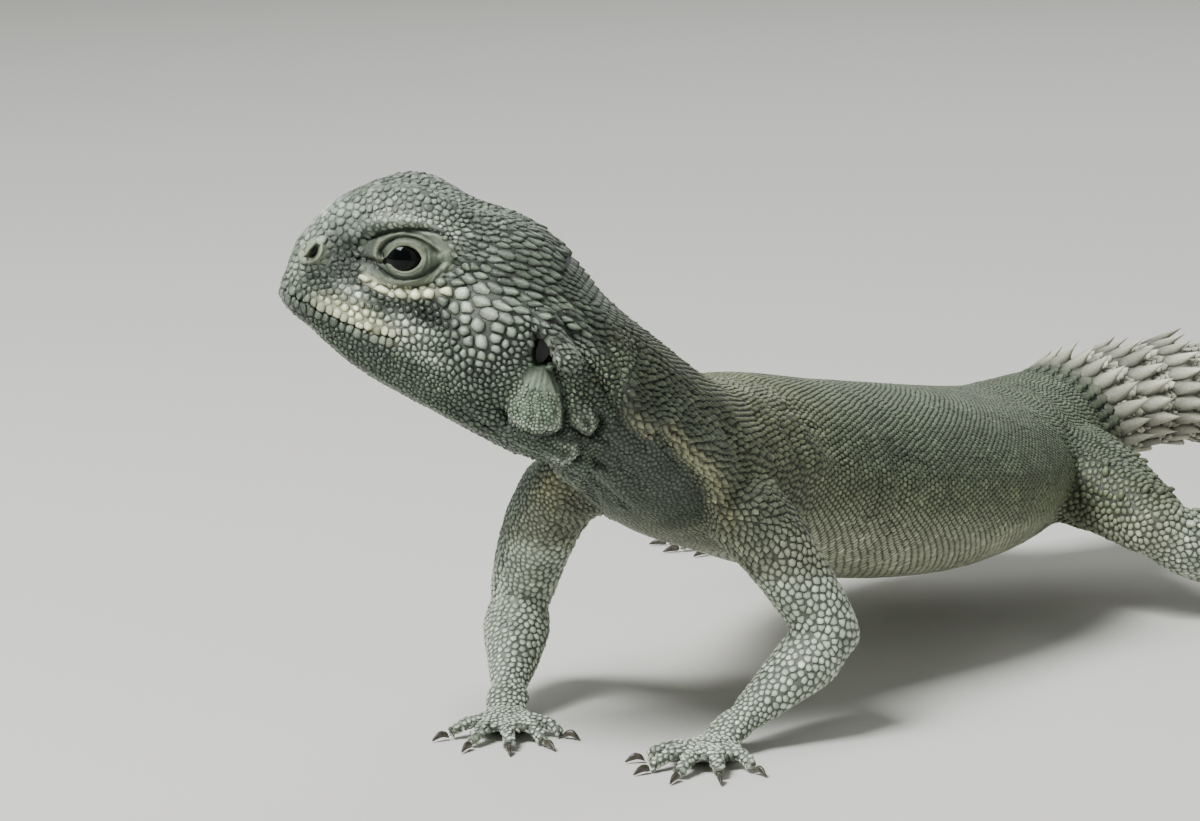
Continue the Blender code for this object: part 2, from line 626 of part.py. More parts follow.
def whorl_spines(path, edges, first, last):
    """The spines of some of the whorls: round the back and sides, not under the tail."""
    spines = []
    for i in range(first, last):
        share = i / (WHORLS - 1)
        start, end = path(edges[i]), path(edges[i + 1])
        row = path(between((edges[i], edges[i + 1]), 0.35))
        way = at(*(end - start)[:3]).normalized()
        across = way.cross(UP).normalized()
        over = across.cross(way)
        spacing = float(np.linalg.norm((end - start)[:3]))
        count = round(between(SPINES_ROUND, share))
        length = min(between(SPINE_LENGTH, share), spacing * 0.7)
        for j in range(count):
            turn = math.radians(between(SPINE_ARC, j / (count - 1)))
            side = across * (math.cos(turn) * row[3]) + over * (math.sin(turn) * row[4])
            out = (across * (math.cos(turn) / row[3]) + over * (math.sin(turn) / row[4])).normalized()
            spines.append(spine(f"spine_{i}_{j}", at(*row[:3]) + side * MM * 0.99, way, out, length,
                                between(SPINE_RADIUS, share)))
    return spines


def centre_on_floor():
    """Moves every node so that the middle of the model's outline on the floor is the origin."""
    points = np.array([v.co for obj in PARTS.objects for v in obj.data.vertices])
    low, high = points.min(axis=0), points.max(axis=0)
    shift = Matrix.Translation(((low[0] + high[0]) / -2, (low[1] + high[1]) / -2, 0))
    for obj in PARTS.objects:
        obj.data.transform(shift)


def build_all():
    trunk = make_trunk()
    dress_head(trunk["head"])
    fore = (FORE_PIECES, CHEST_PLACE, CHEST_BACK)
    hind = (HIND_PIECES, HIP_PLACE, HIP_BACK)
    for side, points_to in zip((1, -1), FORE_WAYS):
        make_limb(*fore, side, points_to, FORE_DIGITS, FORE_PALM, [trunk["neck"], trunk["chest"]])
    for side, points_to in zip((1, -1), HIND_WAYS):
        make_limb(*hind, side, points_to, HIND_DIGITS, HIND_PALM, [trunk["belly"]])
    make_tail(trunk["belly"])
    centre_on_floor()


build_all()
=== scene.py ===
import math

import bmesh
import bpy
import numpy as np
from mathutils import Matrix, Vector
from mathutils.bvhtree import BVHTree
from mathutils.kdtree import KDTree


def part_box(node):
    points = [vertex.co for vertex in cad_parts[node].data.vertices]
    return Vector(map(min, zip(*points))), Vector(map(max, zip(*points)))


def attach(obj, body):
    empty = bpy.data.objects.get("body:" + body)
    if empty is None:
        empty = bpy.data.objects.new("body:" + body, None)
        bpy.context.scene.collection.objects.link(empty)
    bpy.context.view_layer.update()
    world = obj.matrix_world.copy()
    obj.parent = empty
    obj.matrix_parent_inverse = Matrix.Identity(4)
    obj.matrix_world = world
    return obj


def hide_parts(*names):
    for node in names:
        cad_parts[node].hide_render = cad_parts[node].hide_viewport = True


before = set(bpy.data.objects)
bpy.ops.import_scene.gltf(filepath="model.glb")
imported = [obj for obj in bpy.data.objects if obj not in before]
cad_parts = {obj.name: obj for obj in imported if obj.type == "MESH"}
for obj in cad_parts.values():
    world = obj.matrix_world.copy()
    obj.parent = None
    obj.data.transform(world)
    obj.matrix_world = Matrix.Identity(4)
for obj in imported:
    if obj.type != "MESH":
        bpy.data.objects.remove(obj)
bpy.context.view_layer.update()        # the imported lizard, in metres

# A spiny-tailed lizard with its head raised: one skin over its flesh, and every scale as its own small mesh

mm = 0.001
draw = np.random.default_rng(41)


def unit(vectors):
    return vectors / np.maximum(np.linalg.norm(vectors, axis=-1, keepdims=True), 1e-12)


def ramp(low, high, values):
    # smooth step from 0 at low to 1 at high
    share = np.clip((values - low) / (high - low), 0, 1)
    return share * share * (3 - 2 * share)


def blended(a, b, share):
    return a + (b - a) * share


def bell(values, width, power=2):
    # 1 in the middle, running out past the width
    return np.exp(-(values / width) ** power)


def spot(across, upward, power=1):
    # the same round a place, from two shares of its reach
    return np.exp(-(across ** 2 + upward ** 2) ** power)


def paint(red, green, blue):
    # a screen colour, 0 to 255, as the linear colour that a material takes
    share = np.array([red, green, blue]) / 255
    return share ** 2.2


# Head coordinates are millimetres along the head from the ears, out to the side and up

headPlace = {
    "pitch": 20,                  # degrees that the head is raised
    "eye": (19.4, 6.9, 3.3),      # where the middle of an eye lies
    "eyeRadius": 3.7,
}
pitch = math.radians(headPlace["pitch"])
forward = np.array([-math.cos(pitch), 0, math.sin(pitch)])
headUp = np.array([math.sin(pitch), 0, math.cos(pitch)])
headLeft = np.array([0, -1.0, 0])
headTurn = np.array([forward, headLeft, headUp])


def middleOf(node):
    low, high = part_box(node)
    return np.array((low + high) / 2)


headOrigin = middleOf("eye_left") - np.array(headPlace["eye"]) @ headTurn * mm
bodyShift = headOrigin / mm - np.array([-7.7, 0, 57.5])       # body places below are given before this move


def toHead(points):
    return (points - headOrigin) @ headTurn.T / mm


def fromHead(places):
    return np.asarray(places) @ headTurn * mm + headOrigin


def onBody(x, y, z):
    return (np.array([x, y, z]) + bodyShift) * mm


# The lines that scales, rows and colours follow

lines = {
    "head": [fromHead((along, 0, up)) for along, up in ((36, -3), (20, -1), (8, -2), (-4, -4))],
    "trunk": [onBody(*p) for p in ((-4, -3, 53), (0.5, 1, 48.5), (2.5, 5, 44.8), (9.2, 17, 37.2),
                                   (17.5, 32, 33.4), (28.5, 51.5, 28.6), (40, 71.5, 24.8), (51, 89.5, 22.6),
                                   (61, 103, 21.8), (70.5, 113, 23.6))],
}
for hand in ("left", "right"):
    lines["arm_" + hand] = [middleOf(f"{piece}_{hand}") for piece in ("upper_arm", "forearm", "hand")]
    lines["leg_" + hand] = [middleOf(f"{piece}_{hand}") for piece in ("thigh", "shin", "foot")]
limbs = ("arm_left", "arm_right", "leg_left", "leg_right")

tail = {
    # the middle of the tail, then its half width and half height, in millimetres
    "path": [(70.5, 113, 23.6, 12.6, 9.2), (81, 120, 26.4, 11.9, 8.3), (93, 123.5, 27.4, 11.5, 7.9),
             (107, 123.5, 24.8, 10.9, 7.7), (122, 120, 19.2, 10.1, 7.3), (138, 114.5, 13, 9, 6.6),
             (155, 108.5, 8.2, 7.5, 5.8), (172, 103, 5.5, 5.8, 4.7), (188, 98.5, 3.8, 3.9, 3.3),
             (202, 95, 2.3, 1.8, 1.7)],
    "whorls": 22,
    "lengths": (1.3, 0.75),       # the first whorl's length against the last one's
    "step": ((0.04, 0.93), (0.86, 1.04)),     # share of a whorl's length, and its girth there
    "spinesRound": (22, 11),      # in the first whorl and the last
    "spineLength": (4.4, 2.8),
}


def curveThrough(rows, steps):
    rows = np.asarray(rows, float)
    ends = np.vstack([2 * rows[0] - rows[1], rows, 2 * rows[-1] - rows[-2]])
    found = []
    for i in range(len(rows) - 1):
        a, b, c, d = ends[i:i + 4]
        for t in np.arange(steps) / steps:
            bend = (2 * a - 5 * b + 4 * c - d) * t * t + (3 * b - a - 3 * c + d) * t ** 3
            found.append(0.5 * (2 * b + (c - a) * t + bend))
    return np.array(found + [rows[-1]])


tailFine = curveThrough(tail["path"], 12)
tailFine[:, :3] += bodyShift
tailSteps = np.linalg.norm(np.diff(tailFine[:, :3], axis=0), axis=1)
tailShares = np.concatenate([[0], np.cumsum(tailSteps) / tailSteps.sum()])
whorlSizes = np.linspace(*tail["lengths"], tail["whorls"])
whorlEdges = np.concatenate([[0], np.cumsum(whorlSizes) / whorlSizes.sum()])
lines["tail"] = [p * mm for p in tailFine[::6, :3]]


def tailAt(share):
    # middle in millimetres, half width, half height, and the ways back, across and over there
    row = np.array([np.interp(share, tailShares, tailFine[:, k]) for k in range(5)])
    ahead = np.array([np.interp(min(share + 0.01, 1), tailShares, tailFine[:, k]) for k in range(3)])
    behind = np.array([np.interp(max(share - 0.01, 0), tailShares, tailFine[:, k]) for k in range(3)])
    way = unit(ahead - behind)
    across = unit(np.cross(way, (0, 0, 1)))
    return row[:3], row[3], row[4], way, across, np.cross(across, way)


def followLine(points, line):
    # how far along a line each point lies, from 0 to 1, its place on the line and the line's way there
    line = np.array(line)
    steps = np.linalg.norm(np.diff(line, axis=0), axis=1)
    start = np.concatenate([[0], np.cumsum(steps)])
    best = np.full(len(points), np.inf)
    share, foot, way = np.zeros(len(points)), np.zeros((len(points), 3)), np.zeros((len(points), 3))
    for i, step in enumerate(steps):
        direction = (line[i + 1] - line[i]) / step
        run = np.clip((points - line[i]) @ direction, 0, step)
        here = line[i] + run[:, None] * direction
        apart = np.linalg.norm(points - here, axis=1)
        near = apart < best
        best[near] = apart[near]
        share[near] = (start[i] + run[near]) / start[-1]
        foot[near] = here[near]
        way[near] = direction
    return share, foot, way, best


# Skin

trunkNodes = ["head", "neck", "chest", "belly"]
limbNodes = [f"{piece}_{hand}" for hand in ("left", "right")
             for piece in ("upper_arm", "forearm", "hand", "thigh", "shin", "foot")]
skinShape = {
    "swell": 0.32,       # millimetres that each node swells, so that neighbours run together
    "coat": 0.25,        # millimetres that the skin lies inside the solids
    "voxel": 0.5,
    "keep": 0.34,        # share of the faces kept where the body is plain
    "faces": 190000,     # the most that the finished skin has
    "filled": ((headPlace["eye"], 4.3), ((30.9, 5.6, -0.4), 1.7)),     # balls that fill the sockets and nostrils
    "tailSides": 28,
    "tailTip": [(0.982, 0.8), (0.993, 0.55), (1, 0.22)],     # share of the tail, and its girth there
}


def meshFrom(bm, name):
    mesh = bpy.data.meshes.new(name)
    bm.to_mesh(mesh)
    bm.free()
    return mesh


def changed(mesh, bm):
    bm.to_mesh(mesh)
    bm.free()
    mesh.update()


def copied(mesh):
    bm = bmesh.new()
    bm.from_mesh(mesh)
    return bm


def mergedNode(node):
    # a copy of a node's mesh with its loose triangles joined
    bm = copied(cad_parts[node].data)
    bmesh.ops.remove_doubles(bm, verts=bm.verts, dist=1e-6)
    return bm


def addPart(whole, bm):
    part = meshFrom(bm, "part")
    whole.from_mesh(part)
    bpy.data.meshes.remove(part)


def meshArrays(mesh):
    points = np.zeros(len(mesh.vertices) * 3)
    mesh.vertices.foreach_get("co", points)
    normals = np.zeros(len(mesh.vertices) * 3)
    mesh.vertex_normals.foreach_get("vector", normals)
    edges = np.zeros(len(mesh.edges) * 2, int)
    mesh.edges.foreach_get("vertices", edges)
    return points.reshape(-1, 3), normals.reshape(-1, 3), edges.reshape(-1, 2)


def setPoints(mesh, points):
    mesh.vertices.foreach_set("co", points.ravel())
    mesh.update()


def smoothed(points, edges, weight, rounds):
    # evens out the points without shrinking the whole: each round in is followed by one out
    count = len(points)
    degree = np.maximum(np.bincount(edges.ravel(), minlength=count), 1)
    for turn in range(rounds * 2):
        total = np.stack([np.bincount(edges[:, 0], points[edges[:, 1], k], count)
                          + np.bincount(edges[:, 1], points[edges[:, 0], k], count) for k in range(3)], axis=1)
        push = 0.55 if turn % 2 == 0 else -0.565
        points = points + (total / degree[:, None] - points) * (weight * push)[:, None]
    return points


def tailTube():
    bm = bmesh.new()
    rings = []
    for i in range(tail["whorls"]):
        for share, swell in tail["step"]:
            rings.append((blended(whorlEdges[i], whorlEdges[i + 1], share), swell))
    rings[0] = (0, 0.97)
    rings = rings[:-1] + skinShape["tailTip"]
    before = None
    for share, swell in rings:
        middle, wide, high, way, across, over = tailAt(share)
        loop = bmesh.ops.create_circle(bm, cap_ends=share in (0, 1), segments=skinShape["tailSides"], radius=1)["verts"]
        turn = Matrix([across * wide * swell * mm, over * high * swell * mm, way * mm]).transposed().to_4x4()
        if share == 0:
            middle = middle - way * 3
        bmesh.ops.transform(bm, matrix=Matrix.Translation(middle * mm) @ turn, verts=loop)
        edges = [e for e in bm.edges if e.verts[0] in loop and e.verts[1] in loop]
        if before:
            bmesh.ops.bridge_loops(bm, edges=before + edges)
        before = edges
    bmesh.ops.recalc_face_normals(bm, faces=bm.faces)
    return bm


def fleshMesh():
    whole = bmesh.new()
    for bm in [mergedNode(node) for node in trunkNodes + limbNodes] + [tailTube()]:
        bm.normal_update()
        for v in bm.verts:
            v.co += v.normal * (skinShape["swell"] * mm)
        addPart(whole, bm)
    for side in (1, -1):       # the sockets and nostrils are shaped again below
        for (along, out, up), radius in skinShape["filled"]:
            bm = bmesh.new()
            bmesh.ops.create_icosphere(bm, subdivisions=3, radius=radius * mm)
            bmesh.ops.translate(bm, vec=Vector(fromHead((along, out * side, up))), verts=bm.verts)
            addPart(whole, bm)
    return meshFrom(whole, "flesh")


def evaluated(obj):
    mesh = bpy.data.meshes.new_from_object(obj.evaluated_get(bpy.context.evaluated_depsgraph_get()))
    bpy.data.objects.remove(obj, do_unlink=True)
    return mesh


def placedObject(name, mesh):
    obj = bpy.data.objects.new(name, mesh)
    bpy.context.scene.collection.objects.link(obj)
    return obj


def plainShare(points):
    # 1 where the body is plain, 0 on the head, hands and feet
    head = toHead(points)
    plain = ramp(-10, -14, head[:, 0])
    for node in ("hand_left", "hand_right", "foot_left", "foot_right"):
        low, high = (np.array(corner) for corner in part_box(node))
        apart = np.linalg.norm(np.maximum(np.maximum(low - points, points - high), 0), axis=1)
        plain = np.minimum(plain, ramp(0.5 * mm, 4 * mm, apart))
    return plain


def runTogether():
    obj = placedObject("flesh", fleshMesh())
    remesh = obj.modifiers.new("run together", "REMESH")
    remesh.mode = "VOXEL"
    remesh.voxel_size = skinShape["voxel"] * mm
    mesh = evaluated(obj)
    points, _, edges = meshArrays(mesh)
    plain = plainShare(points)
    points = smoothed(points, edges, 0.35 + 0.65 * plain, 4)
    setPoints(mesh, points)
    obj = placedObject("skin", mesh)
    group = obj.vertex_groups.new(name="plain")
    for level in range(1, 11):
        members = np.nonzero(np.round(plain * 10) == level)[0]
        if len(members):
            group.add(members.tolist(), level / 10, "REPLACE")
    thin = obj.modifiers.new("thin out", "DECIMATE")
    thin.ratio = skinShape["keep"]
    thin.vertex_group = "plain"
    return evaluated(obj)


def withoutIslands(mesh):
    # keeps only the largest piece
    count = len(mesh.vertices)
    edges = meshArrays(mesh)[2]
    label, before = np.arange(count), None
    while before is None or (label != before).any():
        before = label.copy()
        lowest = np.minimum(label[edges[:, 0]], label[edges[:, 1]])
        np.minimum.at(label, edges[:, 0], lowest)
        np.minimum.at(label, edges[:, 1], lowest)
        label = label[label]
    main = np.bincount(label).argmax()
    bm = copied(mesh)
    bmesh.ops.delete(bm, geom=[v for v in bm.verts if label[v.index] != main], context="VERTS")
    changed(mesh, bm)


def fineZones(points):
    # the parts of the head that are cut finer: once, twice and three times
    along, out, up = toHead(points).T
    out = np.abs(out)
    eye = np.hypot(along - headPlace["eye"][0], up - headPlace["eye"][2])
    mouth = fromPolyline(along, up, mouthLine)[0]
    nose = np.hypot(along - 31, up + 0.4)
    side = (along > -14) & (along < 4) & (out > 6) & (up > -16) & (up < 6)
    once = ((eye < 7) & (out > 4)) | side | ((mouth < 1.3) & (out > 1)) | (nose < 3)
    twice = ((eye < 5.6) & (out > 4)) | ((mouth < 0.7) & (out > 1)) | (nose < 1.9)
    return once, twice, (eye < 3.2) & (out > 5)


def cutFiner(mesh, zone):
    bm = copied(mesh)
    bm.verts.ensure_lookup_table()
    edges = [e for e in bm.edges if zone[e.verts[0].index] and zone[e.verts[1].index]]
    bmesh.ops.subdivide_edges(bm, edges=edges, cuts=1, use_grid_fill=True)
    bmesh.ops.triangulate(bm, faces=bm.faces)
    changed(mesh, bm)


def fromPolyline(x, y, line):
    # distance from a line on the side of the head, and how far along it that is
    best, share = np.full(len(x), np.inf), np.zeros(len(x))
    for i, (a, b) in enumerate(zip(line, line[1:])):
        a, b = np.array(a, float), np.array(b, float)
        run = b - a
        t = np.clip(((x - a[0]) * run[0] + (y - a[1]) * run[1]) / (run @ run), 0, 1)
        apart = np.hypot(x - a[0] - t * run[0], y - a[1] - t * run[1])
        near = apart < best
        best[near] = apart[near]
        share[near] = (i + t[near]) / (len(line) - 1)
    return best, share


def insideOf(x, y, outline):
    # distance from a closed outline, above 0 inside it
    apart = fromPolyline(x, y, outline + outline[:1])[0]
    inside = np.zeros(len(x), bool)
    for a, b in zip(outline, outline[1:] + outline[:1]):
        crossing = (a[1] > y) != (b[1] > y)
        inside ^= crossing & (x < (b[0] - a[0]) * (y - a[1]) / (b[1] - a[1] + 1e-12) + a[0])
    return np.where(inside, apart, -apart)


# Lines on the side of the head are places along it and up

mouthLine = [(34.2, -6.4), (32.8, -6.8), (30.4, -6.8), (27.6, -7.0), (24.8, -7.1), (22.1, -7.2), (18.4, -6.7),
             (16.8, -6.0)]
lids = {
    "middle": -0.4,                  # how far in front of the eyeball's middle the lids' middle lies
    "opening": (2.15, 1.42, 1.5),    # half length, height above and height below of each oval
    "outer": (6.4, 4.15, 3.85),      # where the bare skin round them ends
    "run": (1.2, 2.7),               # from the opening's edge to where the lids run out
    "clear": 0.12,                   # lid edge over the eyeball
}
# Folds round the eye: places behind and above the lids' middle, half width and height
lidFolds = [
    ([(-3.3, 0.1), (-3.45, 0.9), (-2.6, 2.0), (-1.3, 2.6), (-0.2, 2.75), (1.0, 2.63), (2.0, 2.3), (3.1, 1.6),
      (4.2, 0.7)], 0.22, -0.55),
    ([(-4.2, -0.9), (-3.5, -1.45), (-2.4, -2.2), (-1.3, -2.6), (-0.2, -2.7), (1.1, -2.5), (2.2, -2.1), (3.3, -1.4),
      (4.4, -0.6)], 0.22, -0.5),
    ([(-5.6, 2.4), (-4.4, 2.8), (-3.0, 3.25), (-1.7, 3.6), (-0.6, 3.85), (0.9, 3.9), (2.6, 3.8), (4.2, 3.4),
      (5.7, 2.8)], 0.3, -0.8),
    ([(-2.0, -0.3), (-3.1, -0.5), (-4.4, -0.5), (-6.1, -0.3), (-7.2, -0.1)], 0.32, -0.5),
    ([(-3.4, 2.35), (-2.4, 3.05), (-0.9, 3.45), (0.4, 3.5), (1.7, 3.2), (2.9, 2.6), (4.0, 1.7)], 0.13, -0.16),
    ([(-1.9, -1.2), (-1.2, -1.85), (-0.2, -2.1), (1.0, -1.95), (2.0, -1.3)], 0.13, -0.12),
    ([(-6.8, -1.9), (-5.5, -3.0), (-3.5, -3.75), (-0.9, -4.0), (1.3, -3.8), (3.5, -3.25), (5.2, -2.2), (6.6, -0.6)],
     0.22, -0.35),
    ([(4.0, -2.4), (5.2, -1.5), (6.0, -0.5), (6.6, 0.6)], 0.25, -0.3),
    ([(-3.7, 2.0), (-4.2, 1.2), (-4.3, 0.35), (-3.85, -0.1), (-3.3, -0.2)], 0.3, 0.5),
    ([(-3.3, 2.2), (-1.9, 3.0), (-0.2, 3.2), (1.5, 2.9), (3.0, 2.2), (4.4, 1.2)], 0.3, 0.3),
    ([(-2.4, 1.3), (-1.4, 2.0), (-0.1, 2.2), (1.2, 2.05), (2.4, 1.4)], 0.4, 0.22),
    ([(2.4, -0.1), (3.5, 0.1), (5.0, 0.65), (6.6, 1.2)], 0.5, 0.18),
    ([(-5.6, -1.6), (-4.2, -2.5), (-2.4, -3.1), (-0.2, -3.35), (2.0, -3.0), (3.9, -2.1), (5.2, -0.9)], 0.5, 0.3),
]
# Folds of skin: line, half width and height; a groove has a height below 0
sideFolds = [
    ([(27.4, 3.0), (26.0, 5.1), (23.8, 7.0), (20.6, 8.05), (17.0, 8.1), (13.6, 7.2), (11.0, 6.0)], 0.8, 1.15),
    ([(26.6, 1.0), (24.4, -0.7), (21.4, -1.5), (18.9, -1.1), (16.6, -0.2), (13.3, 1.4)], 0.75, 0.3),
    ([(15.4, 4.7), (13.6, 5.2), (11.4, 4.7)], 0.3, -0.3),
    ([(15.2, 3.6), (13.2, 3.7), (11.0, 3.0)], 0.28, -0.25),
    ([(29.4, 1.6), (29.0, 0.0), (29.4, -1.6)], 0.28, -0.28),
    ([(28.5, 2.0), (28.0, 0.1), (28.3, -1.8)], 0.26, -0.22),
    ([(3.0, 3.8), (1.4, 3.0), (-0.9, 1.5), (-3.6, -0.7), (-6.7, -2.8), (-9.2, -4.6), (-11.3, -7.0)], 1.0, 1.15),
    ([(0.6, 0.2), (-1.4, -1.6), (-3.7, -3.7), (-5.4, -6.0), (-6.4, -9.8)], 0.6, -1.3),
    ([(-1.2, 4.1), (-4.5, 2.6), (-8.2, -0.1), (-11.6, -3.2)], 0.85, 0.9),
    ([(-1.8, 2.7), (-4.6, 0.9), (-7.8, -1.7), (-10.8, -4.8)], 0.5, -0.8),
    ([(-5.6, 5.0), (-9.0, 2.8), (-12.0, -0.4), (-13.6, -3.6)], 0.8, 0.6),
    ([(-4.0, 4.4), (-7.6, 1.9), (-10.6, -1.0), (-12.6, -4.0)], 0.45, -0.5),
    ([(-10.9, -6.0), (-11.6, -9.0), (-10.8, -11.4)], 0.6, -0.9),
    ([(9.0, -11.6), (4.0, -13.0), (-1.0, -14.6), (-5.0, -15.4)], 0.6, -0.5),
]
nostril = {
    "place": (31.1, -0.35),
    "turn": 0.35,               # radians that the hole leans
    "bend": 0.12,
    "hole": (0.5, 1.05),        # half width and half height
    "depth": 1.4,
    "rim": (1.65, 0.45, 0.5),   # where it runs, in sizes of the hole, its half width there and its height
    "bare": (1.35, 1.75),       # half width and half height of the skin without scales
}
mouth = {"groove": (0.2, 0.26), "lip": (0.8, 0.4, 0.12)}      # width and depth; place beside it, width and height
# Hanging flaps: outline, where their pleats start, pleats to a radian, and height at the top and the lower edge
flaps = [
    ([(-0.7, -2.0), (0.4, -3.8), (1.4, -6.6), (1.5, -9.6), (-0.4, -11.3), (-3.5, -11.4), (-6.6, -10.4), (-5.9, -7.5),
      (-4.6, -4.8), (-2.3, -2.6)], (-0.4, 0.6), 44, 0.0, 1.5),
    ([(-6.0, -5.0), (-6.7, -7.4), (-8.2, -9.5), (-10.4, -10.0), (-11.1, -8.3), (-8.4, -5.4)], (-4.4, -2.6), 30, 0.3,
     1.1),
    ([(-2.8, -12.6), (-6.0, -12.4), (-9.2, -11.6), (-10.0, -13.4), (-8.5, -15.2), (-5.6, -14.6)], (-6, -8), 26, 0.3,
     0.9),
]
# Folds on both sides of the body: share of the trunk's line and degrees up its side
trunkFolds = [
    ([(0.250, 40), (0.246, 20), (0.255, 2)], 1.0, -0.9),
    ([(0.263, 38), (0.266, 20), (0.283, 4)], 1.0, 0.5),
    ([(0.276, 36), (0.288, 18), (0.313, 2)], 1.0, -0.85),
    ([(0.210, 40), (0.203, 22), (0.215, 5)], 0.9, -0.8),
    ([(0.230, 40), (0.225, 22), (0.235, 4)], 1.0, 0.5),
    ([(0.300, 32), (0.325, 16), (0.350, 0)], 1.1, -0.7),
    ([(0.130, 12), (0.155, -1), (0.178, -9)], 1.3, -1.3),
    ([(0.015, -56), (0.060, -63), (0.105, -58)], 0.7, -0.9),
    ([(0.020, -68), (0.065, -74), (0.110, -68)], 0.9, 0.5),
    ([(0.030, -80), (0.075, -86), (0.120, -78)], 0.8, -0.9),
    ([(0.060, -102), (0.110, -104), (0.150, -96)], 0.9, -0.8),
    ([(0.010, -47), (0.050, -46), (0.090, -42)], 0.6, -0.7),
    ([(0.370, 14), (0.372, -6), (0.385, -26)], 1.2, -0.5),
    ([(0.410, 20), (0.405, 0), (0.415, -25)], 1.4, -0.5),
    ([(0.450, 16), (0.447, -5), (0.455, -30)], 1.5, -0.4),
    ([(0.880, 22), (0.868, -4), (0.860, -30)], 1.3, -0.7),
    ([(0.845, 16), (0.832, -8), (0.825, -34)], 1.3, -0.6),
    ([(0.805, 8), (0.797, -12), (0.792, -34)], 1.4, -0.4),
    ([(0.340, -4), (0.450, -10), (0.600, -12), (0.750, -8), (0.860, 0)], 2.2, 0.7),
]
# The cape of scaled skin over the shoulder ends in a raised edge along this line
capeEdge = [(0.0, -16), (0.037, -23), (0.076, -27), (0.100, -25), (0.126, -26), (0.152, -31), (0.173, -38), (0.2, -52)]
trunkSpan = {"length": 128, "radius": 13.5}      # millimetres, to lay shares and degrees out flat


def eyeAxes():
    # front along the lids, up them and the way that the eye looks, in head coordinates
    look = unit(np.array([0.22, 1, 0.06]))
    worldUp = np.array([math.sin(pitch), 0, math.cos(pitch)])
    up = unit(worldUp - look * (look @ worldUp))
    front = np.cross(up, look)
    return (front if front[0] > 0 else -front), up, look


def reach(turn, size):
    # radius of an almond shape in a direction: two arches that meet in the corners
    length, above, below = size
    high = np.where(np.sin(turn) > 0, above, below)
    rise, run = np.abs(np.sin(turn)), high * np.cos(turn) ** 2 / length ** 2 + 1e-6
    pointed = (np.sqrt(rise ** 2 + 4 * high * run) - rise) / (2 * run)
    oval = 1 / np.sqrt((np.cos(turn) / (0.88 * length)) ** 2 + (np.sin(turn) / high) ** 2)
    return blended(pointed, oval, 0.6)


def onLids(head):
    # places behind and above the lids' middle, and out along the way that the eye looks
    front, up, look = eyeAxes()
    apart = head - np.array(headPlace["eye"])
    return lids["middle"] - apart @ front, apart @ up, apart @ look, look


def foldsOf(x, y, folds):
    # how far a list of folds lifts or sinks each place
    change = np.zeros(len(x))
    for line, width, height in folds:
        apart, share = fromPolyline(x, y, line)
        change += height * bell(apart, width) * np.sin(math.pi * blended(0.1, 0.9, share)) ** 0.5
    return change


def shapeLids(head):
    x, y, depth, look = onLids(head)
    radius = np.hypot(x, y)
    fromEye = np.hypot(x + lids["middle"], y)
    away = radius - reach(np.arctan2(y, -x), lids["opening"])
    edge = ramp(-0.05, 0.3, away)
    rim = 0.12 * bell(away - 0.35, 0.25)
    thick = blended(-0.7, lids["clear"] + 0.12, edge) + rim + 0.36 * ramp(0.15, 0.9, away)
    shell = np.minimum(fromEye, 3.5)
    dome = np.sqrt(np.maximum((headPlace["eyeRadius"] + thick) ** 2 - shell ** 2, 0.01)) - (fromEye - shell) * 0.3
    wanted = blended(dome, np.minimum(depth, 3.3), ramp(*lids["run"], away))
    wanted = blended(wanted, depth, ramp(4.0, 4.8, y))
    wanted += foldsOf(x, y, lidFolds) * ramp(0.1, 0.5, away)
    ball = np.sqrt(np.maximum((headPlace["eyeRadius"] + 0.06) ** 2 - fromEye ** 2, 0))
    wanted = np.where(away > 0.12, np.maximum(wanted, ball), wanted)
    wanted += 0.05 * np.sin(radius * 10 + np.sin(x * 2)) * ramp(0.5, 0.9, away) * ramp(4.2, 3.0, away)
    share = ramp(-0.5, 0.6, depth) * ramp(9, 7.5, radius)
    return head + np.outer((wanted - depth) * share, look)


def onTrunkFlat(points):
    # the body's side laid flat, the same on both sides: millimetres back along it and up its side
    share, foot, way, _ = followLine(points, lines["trunk"])
    side = unit(np.cross(way, (0, 0, 1)))
    over = np.cross(side, way)
    out = points - foot
    across = np.sum(out * side, axis=1)
    turn = np.arctan2(np.sum(out * over, axis=1), np.abs(across))
    return share * trunkSpan["length"], turn * trunkSpan["radius"]


def flatLine(line):
    return [(share * trunkSpan["length"], math.radians(turn) * trunkSpan["radius"]) for share, turn in line]


def aboveCape(points):
    # millimetres above the cape's edge on the side of the neck, and 1 where that edge runs
    back, rise = onTrunkFlat(points)
    edge = np.array(flatLine(capeEdge))
    gap = (rise - np.interp(back, edge[:, 0], edge[:, 1])) * 0.86
    return gap, ramp(-0.5, 2.5, back) * ramp(26, 20, back)


def shapeBody(points, normals):
    back, rise = onTrunkFlat(points)
    change = np.zeros(len(points))
    for line, width, height in trunkFolds:
        apart, share = fromPolyline(back, rise, flatLine(line))
        change += height * bell(apart, width) * np.sin(math.pi * blended(0.08, 0.92, share)) ** 0.5
    gap, present = aboveCape(points)
    cape = 1.1 * ramp(-0.35, 0.35, gap) * bell(np.maximum(gap, 0), 4.0)
    hollow = -0.8 * bell(gap + 0.9, 1.1)
    change += (cape + hollow) * present
    onTrunk = followLine(points, lines["trunk"])[3] < 30 * mm
    for name in limbs:
        onTrunk = onTrunk & (followLine(points, lines[name])[3] > 5.5 * mm)
    return points + normals * (change * onTrunk * mm)[:, None]


def fallenIn(up, outline):
    # 0 at the top of a flap, 1 at its lower edge
    high, low = max(p[1] for p in outline), min(p[1] for p in outline)
    return np.clip((high - up) / (high - low), 0, 1)


def freeEdge(along, outline, fallen):
    # 1 behind and under a flap, where it hangs free, 0 in front of it
    middle = sum(p[0] for p in outline) / len(outline)
    return np.maximum(ramp(1.2, -0.8, along - middle), ramp(0.8, 0.95, fallen))


